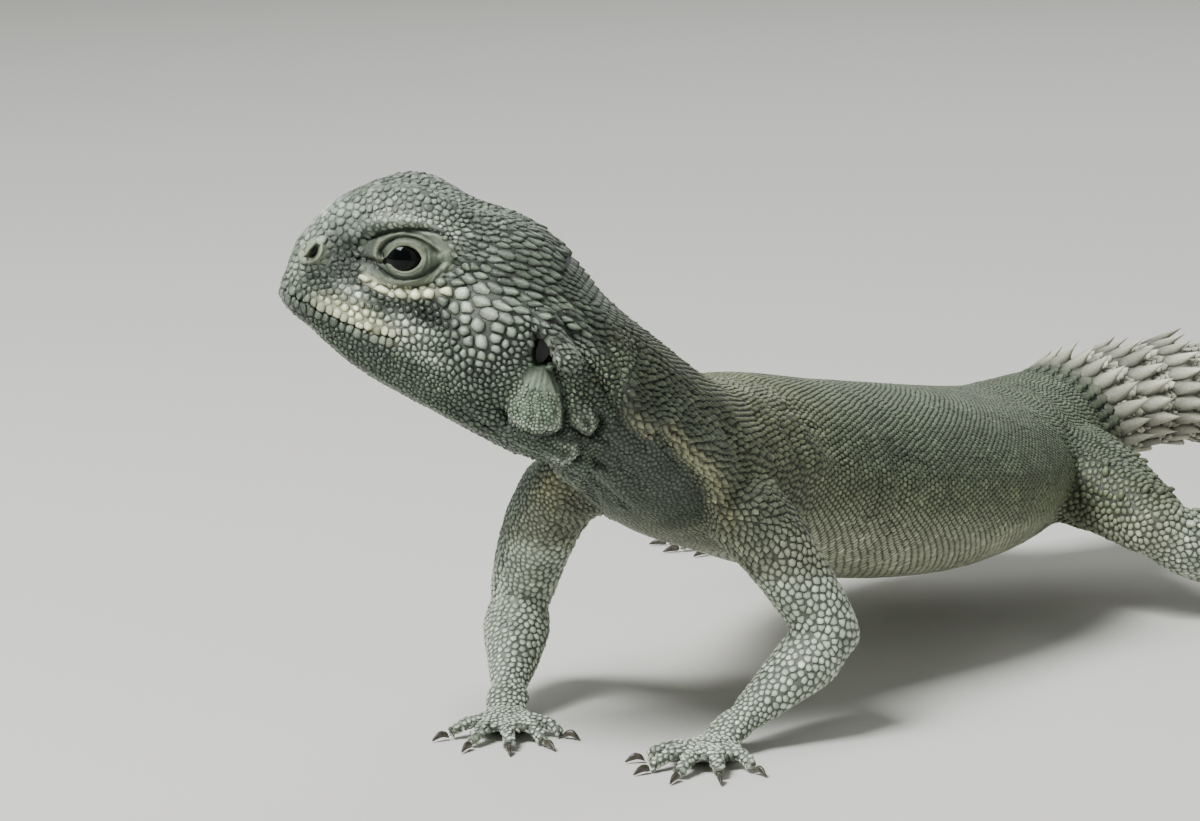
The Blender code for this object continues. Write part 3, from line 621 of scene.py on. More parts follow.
def shapeHead(points, normals):
    head = toHead(points)
    side = np.where(head[:, 1] >= 0, 1.0, -1.0)
    head[:, 1] *= side
    push = normals @ headTurn.T
    push[:, 1] *= side
    along, out, up = head.T
    onSide = ramp(3.5, 6.5, out)
    change = foldsOf(along, up, sideFolds)
    dome = np.hypot((along + 1.9) / 3.4, (up + 7.4) / 4.2)      # the jowl's dome is pressed flat first
    change -= 1.1 * bell(dome, 0.78, 4)
    droop = np.zeros(len(head))
    for outline, start, pleats, top, low in flaps:
        inside = insideOf(along, up, outline)
        fallen = fallenIn(up, outline)
        fan = np.arctan2(along - start[0], start[1] - up)
        folds = np.sin(fan * pleats + 0.9 * np.sin(up * 0.9 + along)) * blended(0.03, 0.2, fallen)
        free = freeEdge(along, outline, fallen)
        lift = ramp(-0.12, blended(1.3, 0.45, fallen) + 1.2 * (1 - free), inside)
        change += lift * (blended(top, low, fallen ** 0.8) + folds * ramp(0.1, 0.5, inside))
        change -= 0.95 * bell(inside + 0.5, 0.42) * ramp(0.25, 0.55, fallen) * free
        droop += lift * ramp(1.6, 0.4, inside) * ramp(0.3, 0.8, fallen) * 0.4
    head = head + push * (change * onSide)[:, None]
    head[:, 2] -= droop * onSide
    apart, share = fromPolyline(along, up, mouthLine)
    width, depth = mouth["groove"]
    beside, lipWidth, lipHeight = mouth["lip"]
    groove = -depth * bell(apart, width) * ramp(1.0, 0.92, share)
    lip = lipHeight * bell(apart - beside, lipWidth)
    head = head + push * ((groove + lip) * (out > 0.6))[:, None]
    noseX, noseY = along - nostril["place"][0], up - nostril["place"][1]
    cos, sin = math.cos(nostril["turn"]), math.sin(nostril["turn"])
    tilted = noseX * cos + noseY * sin, noseY * cos - noseX * sin
    nose = np.hypot((tilted[0] - nostril["bend"] * tilted[1] ** 2) / nostril["hole"][0], tilted[1] / nostril["hole"][1])
    rimPlace, rimWidth, rimHeight = nostril["rim"]
    hole = -nostril["depth"] * bell(nose, 1, 4) + rimHeight * bell(nose - rimPlace, rimWidth)
    head = head + np.outer(hole * (out > 3), (0, 1, 0))
    eyeNear = np.linalg.norm(head - np.array(headPlace["eye"]), axis=1) < 10
    head[eyeNear] = shapeLids(head[eyeNear])
    head[:, 1] *= side
    return fromHead(head)


def makeSkin():
    mesh = runTogether()
    withoutIslands(mesh)
    print("skin run together:", len(mesh.polygons), "faces")
    points, normals, edges = meshArrays(mesh)
    plain = plainShare(points)
    points = smoothed(points, edges, plain, 14)
    setPoints(mesh, points)
    points, normals, edges = meshArrays(mesh)
    points -= normals * ((skinShape["swell"] + skinShape["coat"]) * mm)
    setPoints(mesh, points)
    for level in range(3):
        cutFiner(mesh, fineZones(meshArrays(mesh)[0])[level])
    points, normals, edges = meshArrays(mesh)
    wide, close, _ = fineZones(points)
    points = smoothed(points, edges, wide * 0.8, 6)
    setPoints(mesh, points)
    points, normals, edges = meshArrays(mesh)
    points = shapeBody(points, normals)
    points = shapeHead(points, normals)
    points = smoothed(points, edges, wide * 0.25 + close * 0.5, 2)
    setPoints(mesh, points)
    mesh.shade_smooth()
    obj = placedObject("shaped", mesh)
    group = obj.vertex_groups.new(name="covered")
    group.add(np.nonzero(~close)[0].tolist(), 1, "REPLACE")
    thin = obj.modifiers.new("thin out", "DECIMATE")
    thin.ratio = min(skinShape["faces"] / len(mesh.polygons), 1)
    thin.vertex_group = "covered"
    mesh = evaluated(obj)
    print("skin shaped:", len(mesh.polygons), "faces")
    return mesh


# Colours, shared by the skin and the scales: their markings, with painted shade and painted highlights laid in

tints = {
    "base": paint(93, 103, 90),
    "crown": paint(112, 122, 110),
    "snout": paint(134, 145, 134),
    "dark": paint(46, 54, 45),
    # painted shade for grooves, nostril holes and the eyes' front corners
    "recessShade": paint(24, 30, 24),
    "cream": paint(204, 207, 172),
    "pale": paint(172, 181, 164),
    "lid": paint(66, 76, 64),
    # pale rims of the lids and nostrils, and painted highlights on the lids' ridges
    "paleRimAndHighlight": paint(136, 144, 120),
    "jowl": paint(108, 124, 104),
    # throat: painted shade for the undersides of the head and neck, away from the light above
    "throat": paint(72, 84, 70),
    "nape": paint(66, 72, 53),
    "cape": paint(108, 112, 82),
    "edge": paint(150, 150, 116),
    "back": paint(78, 88, 70),
    "flank": paint(104, 111, 85),
    # leg: paler legs, lightened further as painted light
    "leg": paint(176, 187, 169),
    "belly": paint(160, 164, 142),
    "tail": paint(192, 192, 172),
}
# Patches on both sides of the head: along, up, their reach in both, tint and strength
headPatches = [
    (22, 10.5, 10, 4.5, "crown", 0.9),
    (31.5, 3.5, 4.5, 4.5, "snout", 0.9),
    # painted highlight on the lit edge of the brow ridge
    (20.6, 8.2, 6.5, 1.7, "pale", 0.75),
    (26.8, 0.4, 2.8, 2.8, "dark", 0.85),
    (31.1, -0.35, 1.7, 2.1, "paleRimAndHighlight", 0.9),
    # painted shade in the nostril hole
    (31.1, -0.35, 0.62, 1.15, "recessShade", 1.0),
    (25.5, -1.6, 4.0, 1.6, "dark", 0.8),
    (18.5, -3.2, 5.0, 1.0, "dark", 0.9),
    (29.4, -3.2, 3.8, 1.7, "dark", 0.9),
    (27.8, 1.6, 2.0, 2.6, "dark", 0.7),
    (33.0, -3.8, 1.6, 2.6, "pale", 0.5),
    (24.4, -5.6, 4.2, 1.3, "cream", 1.0),
    (19.8, -6.1, 3.0, 1.2, "cream", 0.85),
    (24.6, -3.0, 2.4, 0.9, "pale", 0.85),
    (31.4, -5.4, 2.0, 1.1, "dark", 0.5),
    (16.0, -4.4, 3.0, 1.8, "pale", 0.8),
    (29.5, -8.2, 3.6, 1.1, "dark", 0.85),
    (25.6, -8.4, 2.2, 1.3, "dark", 0.9),
    (20.5, -8.9, 4.5, 1.3, "dark", 0.7),
    # painted shade under the jaw
    (20.0, -10.8, 9.0, 2.3, "throat", 0.9),
    (17.0, -9.6, 5.5, 1.0, "dark", 0.75),
    # painted shade under the head
    (4.0, -10.6, 5.0, 2.6, "throat", 0.8),
    # painted shade in the ear opening
    (-0.5, -1.0, 2.0, 2.6, "dark", 0.95),
    # painted shade at the top of the flap, below the ear opening
    (-0.8, -3.4, 2.0, 2.2, "throat", 0.8),
    (13.5, -7.2, 3.4, 1.1, "pale", 0.6),
    (12.4, -1.6, 2.8, 1.4, "dark", 0.9),
    # painted shade below the rear of the row of scales under the eye
    (14.8, -2.5, 3.6, 1.15, "recessShade", 0.9),
    (9.0, 1.2, 4.4, 2.6, "pale", 0.65),
    (6.5, -2.4, 3.6, 2.4, "pale", 0.35),
    (6.4, -7.2, 3.4, 1.6, "dark", 0.6),
    # painted shade under the jaw
    (12.0, -10.5, 7.0, 2.8, "throat", 0.8),
    (-2.2, -8.2, 3.6, 3.6, "jowl", 0.9),
    (-3.0, -0.2, 4.4, 1.6, "pale", 0.5),
    (19.4, 3.2, 5.6, 3.9, "lid", 0.95),
]
bodyPatches = [       # place on the body, reach, tint and strength
    ((4, 8, 54), 17, "nape", 0.85),
    ((2, -9, 52), 11, "nape", 0.7),
    # painted shade under the neck
    ((2, -2, 36), 12, "throat", 0.8),
    ((18, 18, 44), 15, "cape", 0.7),
    ((12, 30, 44), 15, "cape", 0.45),
]


# Single rows on the head: place along, up, then length, width and height
subocularScales = [(13.3, 1.5, 2.0, 1.35, 0.75), (15.4, 0.4, 1.35, 1.45, 0.7), (16.9, -0.3, 1.55, 1.45, 0.7),
                   (18.8, -0.9, 2.0, 1.35, 0.6), (21.2, -1.3, 2.6, 1.0, 0.45), (23.8, -0.9, 2.5, 0.9, 0.4)]
lipRows = {"spacing": 1.1, "upper": 0.6, "lower": -0.6, "height": 0.3, "uneven": 0.16}


def mottle(points, size):
    # soft blotches between -1 and 1, of about the given size in millimetres
    p = points / (size * mm)
    x = np.sin(p[:, 0] * 1.9 + 1.3 * np.sin(p[:, 1] * 1.1 + 0.5)) + np.sin(p[:, 1] * 2.3 + 1.1 * np.sin(p[:, 2] * 1.7))
    return np.clip((x + np.sin(p[:, 2] * 2.1 + 1.4 * np.sin(p[:, 0] * 0.9 + 2))) / 2.2, -1, 1)


def markingsAndPaintedLight(points):
    head = toHead(points)
    along, out, up = head[:, 0], np.abs(head[:, 1]), head[:, 2]
    colour = np.tile(tints["base"], (len(points), 1))

    def lay(tint, share):
        colour[:] = blended(colour, tints[tint], np.clip(share, 0, 1)[:, None])

    share, foot, _, apart = followLine(points, lines["trunk"])
    rise = (points - foot)[:, 2] / mm
    onTrunk = ramp(0.08, 0.36, share)
    lay("back", onTrunk)
    lay("flank", onTrunk * ramp(4, -4, rise) * 0.7)
    lay("belly", onTrunk * ramp(-3, -11, rise))
    for place, size, tint, strength in bodyPatches:
        lay(tint, strength * bell(np.linalg.norm(points - onBody(*place), axis=1), size * mm))
    gap, present = aboveCape(points)
    # painted shade on the neck beneath the cape's raised edge
    lay("throat", present * ramp(0.2, -0.8, gap) * ramp(-9, -5, gap) * 0.85)
    lay("edge", present * bell(gap - 0.7, 1.1) * ramp(2, 8, onTrunkFlat(points)[0]) * 0.75)
    for name in limbs:
        share, _, _, near = followLine(points, lines[name])
        if name.startswith("leg"):
            low = ramp(0.1, 0.5, share) * ramp(14 * mm, 7 * mm, near)
        else:
            low = ramp(0.0, 0.08, share) * ramp(16 * mm, 10 * mm, near)
        # the legs' own paler tone, raised further as painted light for a foreleg standing in bright light
        lay("leg", 0.9 * ramp(-3, -7, head[:, 2]) * low)
    share, _, _, apart = followLine(points, lines["tail"])
    lay("tail", ramp(0.012, 0.05, share) * ramp(22 * mm, 16 * mm, apart))
    onHead = ramp(-9, -4, along)
    lay("base", onHead)
    # painted shade under the head
    lay("throat", onHead * ramp(-9, -13, up))
    # painted shade in the deep crevice running down from the ear
    crevice = fromPolyline(along, up, sideFolds[7][0])[0]
    lay("dark", bell(crevice, 0.7) * ramp(6, 8, out) * 0.8)
    # painted shade under the ridge below the eye
    under = fromPolyline(along, up + 1.5, sideFolds[1][0])[0]
    lay("dark", bell(under, 0.8) * ramp(4, 6, out) * 0.9)
    for x, y, long, high, tint, strength in headPatches:
        reachOut = ramp(2, 5, out) if tint not in ("crown", "snout") else 1
        lay(tint, strength * reachOut * spot((along - x) / long, (up - y) / high, 1.6))
    for outline, *_ in flaps:
        inside = insideOf(along, up, outline)
        free = freeEdge(along, outline, fallenIn(up, outline))
        # painted shadow under each flap's free edge
        lay("dark", bell(inside + 0.5, 0.45) * ramp(6, 8, out) * ramp(-4, -6, up) * 0.9 * free)
        lay("pale", bell(inside - 0.5, 0.4) * ramp(6, 8, out) * ramp(-5, -8, up) * 0.6 * free)
    x, y, depth, _ = onLids(np.stack([along, out, up], axis=1))
    onEye = (np.hypot(x, y) < 8) & (depth > 0)
    # painted shade in the crease at the eye's front corner
    lay("recessShade", spot((x + 6) / 2.6, (y + 0.3) / 1.5) * onEye * 0.75)
    # painted shade along the lower groove beneath the eye
    lay("dark", spot((x - 0.4) / 4.6, (y + 2.9) / 1.5, 1.5) * onEye * 0.45)
    # painted shade in the grooves round the eye and painted highlights on its ridges
    for line, width, height in lidFolds:
        lineShare = np.zeros(len(x))
        lineShare[onEye] = bell(fromPolyline(x[onEye], y[onEye], line)[0], width * 1.25)
        tint, strength = ("recessShade", 2.6) if height < 0 else ("paleRimAndHighlight", 1.2)
        lay(tint, lineShare * min(abs(height) * strength, 0.9))
    away = np.hypot(x, y) - reach(np.arctan2(y, -x), lids["opening"])
    # a pale rim round the opening, partly the lids' own pale edge and partly a painted highlight
    lay("paleRimAndHighlight", bell(away - 0.4, 0.3) * onEye * 0.55)
    beneath = fromPolyline(along, up - 0.1, [row[:2] for row in subocularScales])[0]
    lay("cream", bell(beneath, 0.62, 4) * ramp(4, 6, out) * ramp(25.5, 23, along) * 0.9)
    shade = 1 + (0.12 + 0.06 * onHead) * mottle(points, 4) + 0.12 * mottle(points + 0.31, 1.7)
    return np.clip(colour * shade[:, None], 0, 1)


def bareShare(points):
    # where the skin shows without scales: round the eyes and nostrils, in the ears and on the top of the first flap
    head = toHead(points)
    along, out, up = head[:, 0], np.abs(head[:, 1]), head[:, 2]
    x, y, _, _ = onLids(np.stack([along, out, up], axis=1))
    high = np.where(y > 0, lids["outer"][1], lids["outer"][2])
    bare = ramp(1.0, 0.94, (np.abs(x / lids["outer"][0]) ** 2.4 + np.abs(y / high) ** 2.4)) * (out > 5)
    onFlap = insideOf(along, up, flaps[0][0])
    bare = np.maximum(bare, ramp(-0.1, 0.2, onFlap) * ramp(-6.4, -5.6, up) * (out > 6))
    (noseX, noseY), (noseWide, noseHigh) = nostril["place"], nostril["bare"]
    bare = np.maximum(bare, ramp(1.2, 1.0, np.hypot((along - noseX) / noseWide, (up - noseY) / noseHigh)) * (out > 3))
    return np.maximum(bare, ramp(1.1, 0.8, np.hypot((along + 0.6) / 1.9, (up + 1.0) / 2.6)) * (out > 8))


# Scales: the room that each has is found first, then its own mesh is grown there

headZones = [     # along, up, reach, then length, width, height and lean of the scales there
    (23, 11, 6, 0.92, 0.86, 0.2, 0.05),
    (26, 8.6, 2.4, 0.95, 0.9, 0.24, 0.05),
    (24.5, 6.6, 1.9, 0.52, 0.48, 0.16, 0.05),
    (20, 8.0, 2.4, 0.44, 0.42, 0.15, 0.05),
    (16, 8.4, 2.2, 0.48, 0.45, 0.17, 0.1),
    (30, 5.5, 4, 1.08, 1.02, 0.26, 0.0),
    (34, 1, 3, 1.1, 1.0, 0.26, 0.0),
    (33, -4, 3, 0.9, 0.85, 0.26, 0.0),
    (27, -1.6, 2.4, 0.75, 0.5, 0.1, 0.0),
    (20, -3.0, 2.2, 0.7, 0.55, 0.14, 0.0),
    (25, -4.4, 2.2, 1.15, 1.0, 0.32, 0.0),
    (20, -4.8, 2.4, 1.2, 1.1, 0.4, 0.0),
    (15, -5.4, 2.6, 0.95, 0.9, 0.4, 0.05),
    (13, -3.6, 2.0, 0.7, 0.65, 0.3, 0.05),
    (9.5, 1.2, 3.0, 1.95, 1.6, 0.75, 0.2),
    (6.4, -1.4, 2.6, 1.6, 1.5, 0.8, 0.1),
    (2.8, -0.6, 1.9, 0.85, 0.8, 0.45, 0.12),
    (2.4, -4.2, 2.2, 0.66, 0.62, 0.34, 0.05),
    (9, -4.8, 2.6, 1.0, 0.95, 0.55, 0.05),
    (6.5, 4.8, 3.0, 2.2, 1.2, 0.6, 0.75),
    (11.5, 6.2, 2.4, 1.1, 0.85, 0.36, 0.4),
    (13.5, 8.6, 2.4, 1.0, 0.85, 0.32, 0.3),
    (2.0, 7.4, 3.6, 1.6, 1.05, 0.5, 0.65),
    (-3.0, 5.0, 3.4, 1.25, 0.9, 0.5, 0.6),
    (3.8, -8.5, 2.4, 0.7, 0.66, 0.32, 0.05),
    (15, -9, 2.6, 0.6, 0.56, 0.26, 0.0),
    (10, -9.5, 3.0, 0.62, 0.58, 0.26, 0.0),
    (14, -12, 4, 0.56, 0.54, 0.14, 0.0),
    (24, -9.6, 3.0, 0.62, 0.6, 0.2, 0.0),
    (-1.4, -7.0, 2.4, 0.36, 0.33, 0.08, 0.0),
    (-2.6, -10.8, 1.6, 0.46, 0.42, 0.16, 0.0),
    (-3.4, -0.8, 1.9, 0.72, 0.6, 0.42, 0.22),
    (-8.6, -4.6, 2.0, 0.7, 0.6, 0.4, 0.2),
    (-9, -10, 4, 0.5, 0.48, 0.12, 0.0),
]


def scaleSizes(points):
    # length, width, height and lean of the scales at each point, in millimetres
    head = toHead(points)
    along, up = head[:, 0], head[:, 2]
    plain = np.array([0.8, 0.76, 0.24, 0.15])
    total, weight = np.tile(plain * 0.06, (len(points), 1)), np.full(len(points), 0.06)
    for x, y, size, *values in headZones:
        near = np.exp(-((along - x) ** 2 + (up - y) ** 2) / size ** 2)
        total += near[:, None] * np.array(values)
        weight += near
    total[:, :3] *= 1 + 0.17 * mottle(points, 0.8)[:, None]
    return total / weight[:, None]


class Sites:
    # where scales grow: their places, the skin's normals there, the ways that they lie and their sizes
    def __init__(self, *others):
        self.place, self.normal, self.lie, self.size = (np.zeros((0, width)) for width in (3, 3, 3, 4))
        for other in others:
            self.add(other.place, other.normal, other.lie, other.size)

    def add(self, place, normal, lie, size):
        self.place = np.vstack([self.place, place])
        self.normal = np.vstack([self.normal, normal])
        self.lie = np.vstack([self.lie, lie])
        self.size = np.vstack([self.size, size])


def treeOf(points):
    tree = KDTree(len(points))
    for i, point in enumerate(points):
        tree.insert(point, i)
    tree.balance()
    return tree


def lieAt(points, normals):
    # the way back along the body, laid on the skin
    head = toHead(points)
    trunk = followLine(points, lines["trunk"])[2]
    way = blended(trunk, -forward, ramp(-10, -2, head[:, 0])[:, None])
    for name in limbs:
        _, _, limb, apart = followLine(points, lines[name])
        way = blended(way, limb, ramp(10 * mm, 7 * mm, apart)[:, None])
    way = way - normals * np.sum(way * normals, axis=1)[:, None]
    return unit(way + 1e-9)


def surfaceAt(tree, points):
    place, normal = np.zeros((len(points), 3)), np.zeros((len(points), 3))
    for i, point in enumerate(points):
        found = tree.find_nearest(point)
        place[i], normal[i] = found[0], found[1]
    return place, normal


def evenNormals(place, normal, count=7):
    tree = treeOf(place)
    total = np.zeros_like(normal)
    for i, point in enumerate(place):
        total[i] = sum(normal[j] for _, j, _ in tree.find_n(point, count) if normal[j] @ normal[i] > 0.2)
    return unit(total)


def scatter(mesh, skinTree, wanted, sizesOf, fixed=None, crowd=9):
    # spreads scales over the skin where wanted says, as close as their sizes allow
    points = meshArrays(mesh)[0]
    corners = np.array([p.vertices[:] for p in mesh.polygons])
    middle = points[corners].mean(axis=1)
    cross = np.cross(points[corners[:, 1]] - points[corners[:, 0]], points[corners[:, 2]] - points[corners[:, 0]])
    area = np.linalg.norm(cross, axis=1) / 2
    size = sizesOf(middle)
    density = wanted(middle, unit(cross)) * area / (size[:, 0] * size[:, 1] * mm * mm)
    count = int(density.sum() * crowd)
    pick = draw.choice(len(corners), count, p=density / density.sum())
    a, b = draw.random((2, count))
    flip = a + b > 1
    a, b = np.where(flip, 1 - a, a), np.where(flip, 1 - b, b)
    chosen = corners[pick]
    place = (points[chosen[:, 0]] * (1 - a - b)[:, None] + points[chosen[:, 1]] * a[:, None]
             + points[chosen[:, 2]] * b[:, None])
    normal = unit(cross)[pick]
    first = 0
    if fixed is not None:
        first = len(fixed.place)
        place, normal = np.vstack([fixed.place, place]), np.vstack([fixed.normal, normal])
    lie = lieAt(place, normal)
    size = sizesOf(place)
    if fixed is not None:
        size[:first] = fixed.size
    across = np.cross(normal, lie)
    tree = treeOf(place)
    gone = np.zeros(len(place), bool)
    kept = []
    for i in range(len(place)):
        if gone[i]:
            continue
        kept.append(i)
        length, width = size[i, :2] * mm
        near = np.array([j for _, j, _ in tree.find_range(place[i], max(length, width))])
        delta = place[near] - place[i]
        stretch = (size[near, 0] + size[i, 0]) / 2 * mm, (size[near, 1] + size[i, 1]) / 2 * mm
        apart = ((delta @ lie[i] / stretch[0]) ** 2 + (delta @ across[i] / stretch[1]) ** 2
                 + (delta @ normal[i] / stretch[1]) ** 2)
        close = near[(apart < 0.74) & (near >= first)]
        gone[close] = True
        gone[i] = False
    kept = np.array(kept)
    place, normal, size = place[kept], normal[kept], size[kept]
    for _ in range(4):
        place = spreadOut(place, normal, size, first)
        place[first:], normal[first:] = surfaceAt(skinTree, place[first:])
    sites = Sites()
    normal = evenNormals(place, normal)
    size[first:] = sizesOf(place[first:])
    sites.add(place, normal, lieAt(place, normal), size)
    return sites


def spreadOut(place, normal, size, first):
    # moves each place a little away from those that are too near
    lie = lieAt(place, normal)
    across = np.cross(normal, lie)
    tree = treeOf(place)
    moved = place.copy()
    for i in range(first, len(place)):
        near = np.array([j for _, j, _ in tree.find_n(place[i], 9) if j != i])
        delta = place[i] - place[near]
        length = (size[near, 0] + size[i, 0]) / 2 * mm
        width = (size[near, 1] + size[i, 1]) / 2 * mm
        u, v = delta @ lie[i] / length, delta @ across[i] / width
        apart = np.maximum(np.hypot(u, v), 0.05)
        push = np.maximum(1.02 - apart, 0) / apart * 0.3
        moved[i] += lie[i] * np.sum(u * push * length) + across[i] * np.sum(v * push * width)
    return moved


def cellEdges(sites, sides, near=11, cap=0.86):
    # how far each scale reaches in each direction before it meets its neighbours, in metres
    across = np.cross(sites.normal, sites.lie)
    tree = treeOf(sites.place)
    count = len(sites.place)
    neighbours = np.zeros((count, near), int)
    for i, point in enumerate(sites.place):
        found = [j for _, j, _ in tree.find_n(point, near + 1) if j != i][:near]
        neighbours[i, :len(found)] = found
        neighbours[i, len(found):] = found[-1] if found else i
    delta = sites.place[neighbours] - sites.place[:, None]
    u = np.einsum("nmk,nk->nm", delta, sites.lie)
    v = np.einsum("nmk,nk->nm", delta, across)
    stretch = (sites.size[:, 0] / sites.size[:, 1])[:, None]
    u = u / stretch
    room = sites.size[:, 1] * mm / 2
    power = (u * u + v * v + (room ** 2)[:, None] - room[neighbours] ** 2) / 2
    power = np.maximum(power, 0.12 * (u * u + v * v))
    facing = np.einsum("nmk,nk->nm", sites.normal[neighbours], sites.normal) > 0.1
    turns = np.arange(sides) / sides * math.tau
    reachOut = np.zeros((count, sides))
    for k, turn in enumerate(turns):
        toward = u * math.cos(turn) + v * math.sin(turn)
        radius = np.where((toward > 1e-7) & facing, power / np.maximum(toward, 1e-7), np.inf)
        reachOut[:, k] = np.minimum(radius.min(axis=1), sites.size[:, 1] * mm * cap)
    reachOut = np.minimum(reachOut, 1.13 * reachOut.mean(axis=1, keepdims=True))
    return (sites.lie[:, None] * (reachOut * np.cos(turns) * stretch)[:, :, None]
            + across[:, None] * (reachOut * np.sin(turns))[:, :, None])


def scaleForm(sides, rings, back=0.0, keel=0.0):
    # one scale as a closed dome: rings of share of its width and height, from its sunk foot to the top;
    # back raises its rear end over its front, keel raises a ridge along it
    bm = bmesh.new()
    loop = bmesh.ops.create_circle(bm, cap_ends=True, segments=sides, radius=1)["verts"]
    turnFirst = Matrix.Rotation(-math.atan2(loop[0].co.y, loop[0].co.x), 3, "Z")
    bmesh.ops.rotate(bm, matrix=turnFirst, verts=loop)
    bmesh.ops.scale(bm, vec=(rings[0][0], rings[0][0], 1), verts=loop)
    bmesh.ops.translate(bm, vec=(0, 0, rings[0][1]), verts=loop)
    before = list(bm.edges)
    for wide, high in rings[1:]:
        made = bmesh.ops.extrude_edge_only(bm, edges=before)["geom"]
        loop = [v for v in made if isinstance(v, bmesh.types.BMVert)]
        before = [e for e in made if isinstance(e, bmesh.types.BMEdge) and e.verts[0] in loop and e.verts[1] in loop]
        for v in loop:
            turn = math.atan2(v.co.y, v.co.x)
            v.co = (wide * math.cos(turn), wide * math.sin(turn), high)
    top = bmesh.ops.contextual_create(bm, geom=before)["faces"]
    made = bmesh.ops.poke(bm, faces=top)
    for v in made["verts"]:
        v.co = (0.3 * keel, 0, rings[-1][1] + 0.06)
    for v in bm.verts:
        if v.co.z > 0:
            v.co.z *= 1 - back * 0.5 + back * 0.5 * v.co.x
            v.co.z += keel * 0.3 * max(0, 1 - abs(v.co.y) / 0.3) * (v.co.x + 1) / 2 * min(v.co.z * 3, 1)
    bmesh.ops.recalc_face_normals(bm, faces=bm.faces)
    bmesh.ops.triangulate(bm, faces=[f for f in bm.faces if len(f.verts) > 4])
    bm.verts.ensure_lookup_table()
    places = np.array([v.co for v in bm.verts])
    faces = [[v.index for v in f.verts] for f in bm.faces]
    bm.free()
    return places, faces


plateRings = [(1.0, -0.8), (0.98, 0.22), (0.82, 0.68), (0.45, 0.94)]
beadRings = [(1.0, -0.8), (0.97, 0.08), (0.78, 0.5), (0.4, 0.85)]
bodyRings = [(1.0, -0.9), (0.97, 0.35), (0.6, 0.94)]
spineRings = [(1.0, -0.3), (0.96, 0.12), (0.74, 0.4), (0.44, 0.7), (0.14, 0.94)]


growth = {
    "height": 0.12,        # how far heights differ from scale to scale
    "least": 0.9,          # the least share of its cell that a scale fills
    "rare": (0.08, 0.45),  # share of the scales that stand out, and how much lighter they are
    "patch": 0.0015,       # half the width of a scale's own patch on the unwrap
}


def growScales(name, sites, edges, form, tone, gap=0.045, overlap=0.0, tilt=0.0):
    # one joined mesh of scales: every copy of the form is stretched to its own cell
    places, faces = form
    sides = edges.shape[1]
    turn = np.arctan2(places[:, 1], places[:, 0]) / math.tau * sides
    spoke = np.round(turn).astype(int) % sides
    wide = np.hypot(places[:, 0], places[:, 1])
    high = places[:, 2]
    count, each = len(sites.place), len(places)
    length = np.linalg.norm(edges, axis=2, keepdims=True)
    shrunk = edges * np.maximum(1 - gap * mm / np.maximum(length, 1e-9), growth["least"])
    rear = np.maximum(np.cos(np.arange(sides) / sides * math.tau), 0) ** 4
    shrunk = shrunk * (1 + overlap * rear)[None, :, None]
    height = sites.size[:, 2] * mm * (1 + draw.normal(0, growth["height"], count))
    lean = sites.size[:, 3] * mm
    askew = np.einsum("nsk,nk->ns", shrunk, draw.normal(0, 1, (count, 3)) * tilt)
    points = sites.place[:, None] + shrunk[:, spoke] * wide[None, :, None]
    tip = np.clip(high, 0, 1) * wide
    points = points + sites.normal[:, None] * (height[:, None] * high + askew[:, spoke] * tip)[:, :, None]
    points = points + sites.lie[:, None] * (lean[:, None] * np.maximum(high, 0) ** 1.5)[:, :, None]
    sizes = np.array([len(f) for f in faces])
    flat = np.array([i for f in faces for i in f])
    mesh = bpy.data.meshes.new(name)
    mesh.vertices.add(count * each)
    mesh.loops.add(count * len(flat))
    mesh.polygons.add(count * len(sizes))
    loops = (flat[None] + np.arange(count)[:, None] * each).ravel()
    starts = np.concatenate([[0], np.cumsum(np.tile(sizes, count))[:-1]])
    mesh.vertices.foreach_set("co", points.ravel())
    mesh.loops.foreach_set("vertex_index", loops)
    mesh.polygons.foreach_set("loop_start", starts)
    mesh.polygons.foreach_set("loop_total", np.tile(sizes, count))
    mesh.update(calc_edges=True)
    mesh.validate()
    mesh.shade_smooth()
    rare, lighter = growth["rare"]
    share = 1 + draw.normal(0, tone, (count, 1)) + lighter * (draw.random((count, 1)) < rare)
    colour = np.clip(markingsAndPaintedLight(sites.place) * share, 0, 1)
    layColour(mesh, np.repeat(colour, each, axis=0))
    layValue(mesh, "rise", np.tile(np.clip(high, 0, 1), count))
    layValue(mesh, "hue", np.repeat(draw.random(count), each))       # a number of its own for each scale
    patch = np.stack([np.cos(turn / sides * math.tau) * wide, np.sin(turn / sides * math.tau) * wide], axis=1)
    bake = unwrapped(sites.place)[:, None] + patch * growth["patch"]
    uv = mesh.uv_layers.new(name="OFBake")
    uv.data.foreach_set("uv", bake.reshape(-1, 2)[loops].ravel())
    print(name + ":", count, "scales,", int((sizes - 2).sum()) * count, "triangles")
    return mesh


def layColour(mesh, colours):
    attribute = mesh.color_attributes.new("markingAndPaintedLight", "FLOAT_COLOR", "POINT")
    attribute.data.foreach_set("color", np.hstack([colours, np.ones((len(colours), 1))]).ravel())


def layValue(mesh, name, values):
    attribute = mesh.attributes.new(name, "FLOAT", "POINT")
    attribute.data.foreach_set("value", np.asarray(values, float))


def unwrapped(points):
    # the skin laid flat: each line of the body has its own strip, along it and round it
    names = list(lines)
    best, found = np.full(len(points), np.inf), np.zeros((len(points), 2))
    for k, name in enumerate(names):
        share, foot, way, apart = followLine(points, lines[name])
        side = unit(np.cross(way, (0.11, 0.23, 0.97)))
        over = np.cross(side, way)
        out = points - foot
        turn = np.arctan2(np.sum(out * over, axis=1), np.sum(out * side, axis=1)) / math.tau + 0.5
        near = apart < best
        best[near] = apart[near]
        found[near] = np.stack([0.01 + share * 0.98, (k + 0.02 + turn * 0.96) / len(names)], axis=1)[near]
    return found


# Materials

def newMaterial(name):
    material = bpy.data.materials.new(name)
    material.use_nodes = True
    nodes, links = material.node_tree.nodes, material.node_tree.links
    return material, nodes, links, nodes["Principled BSDF"]


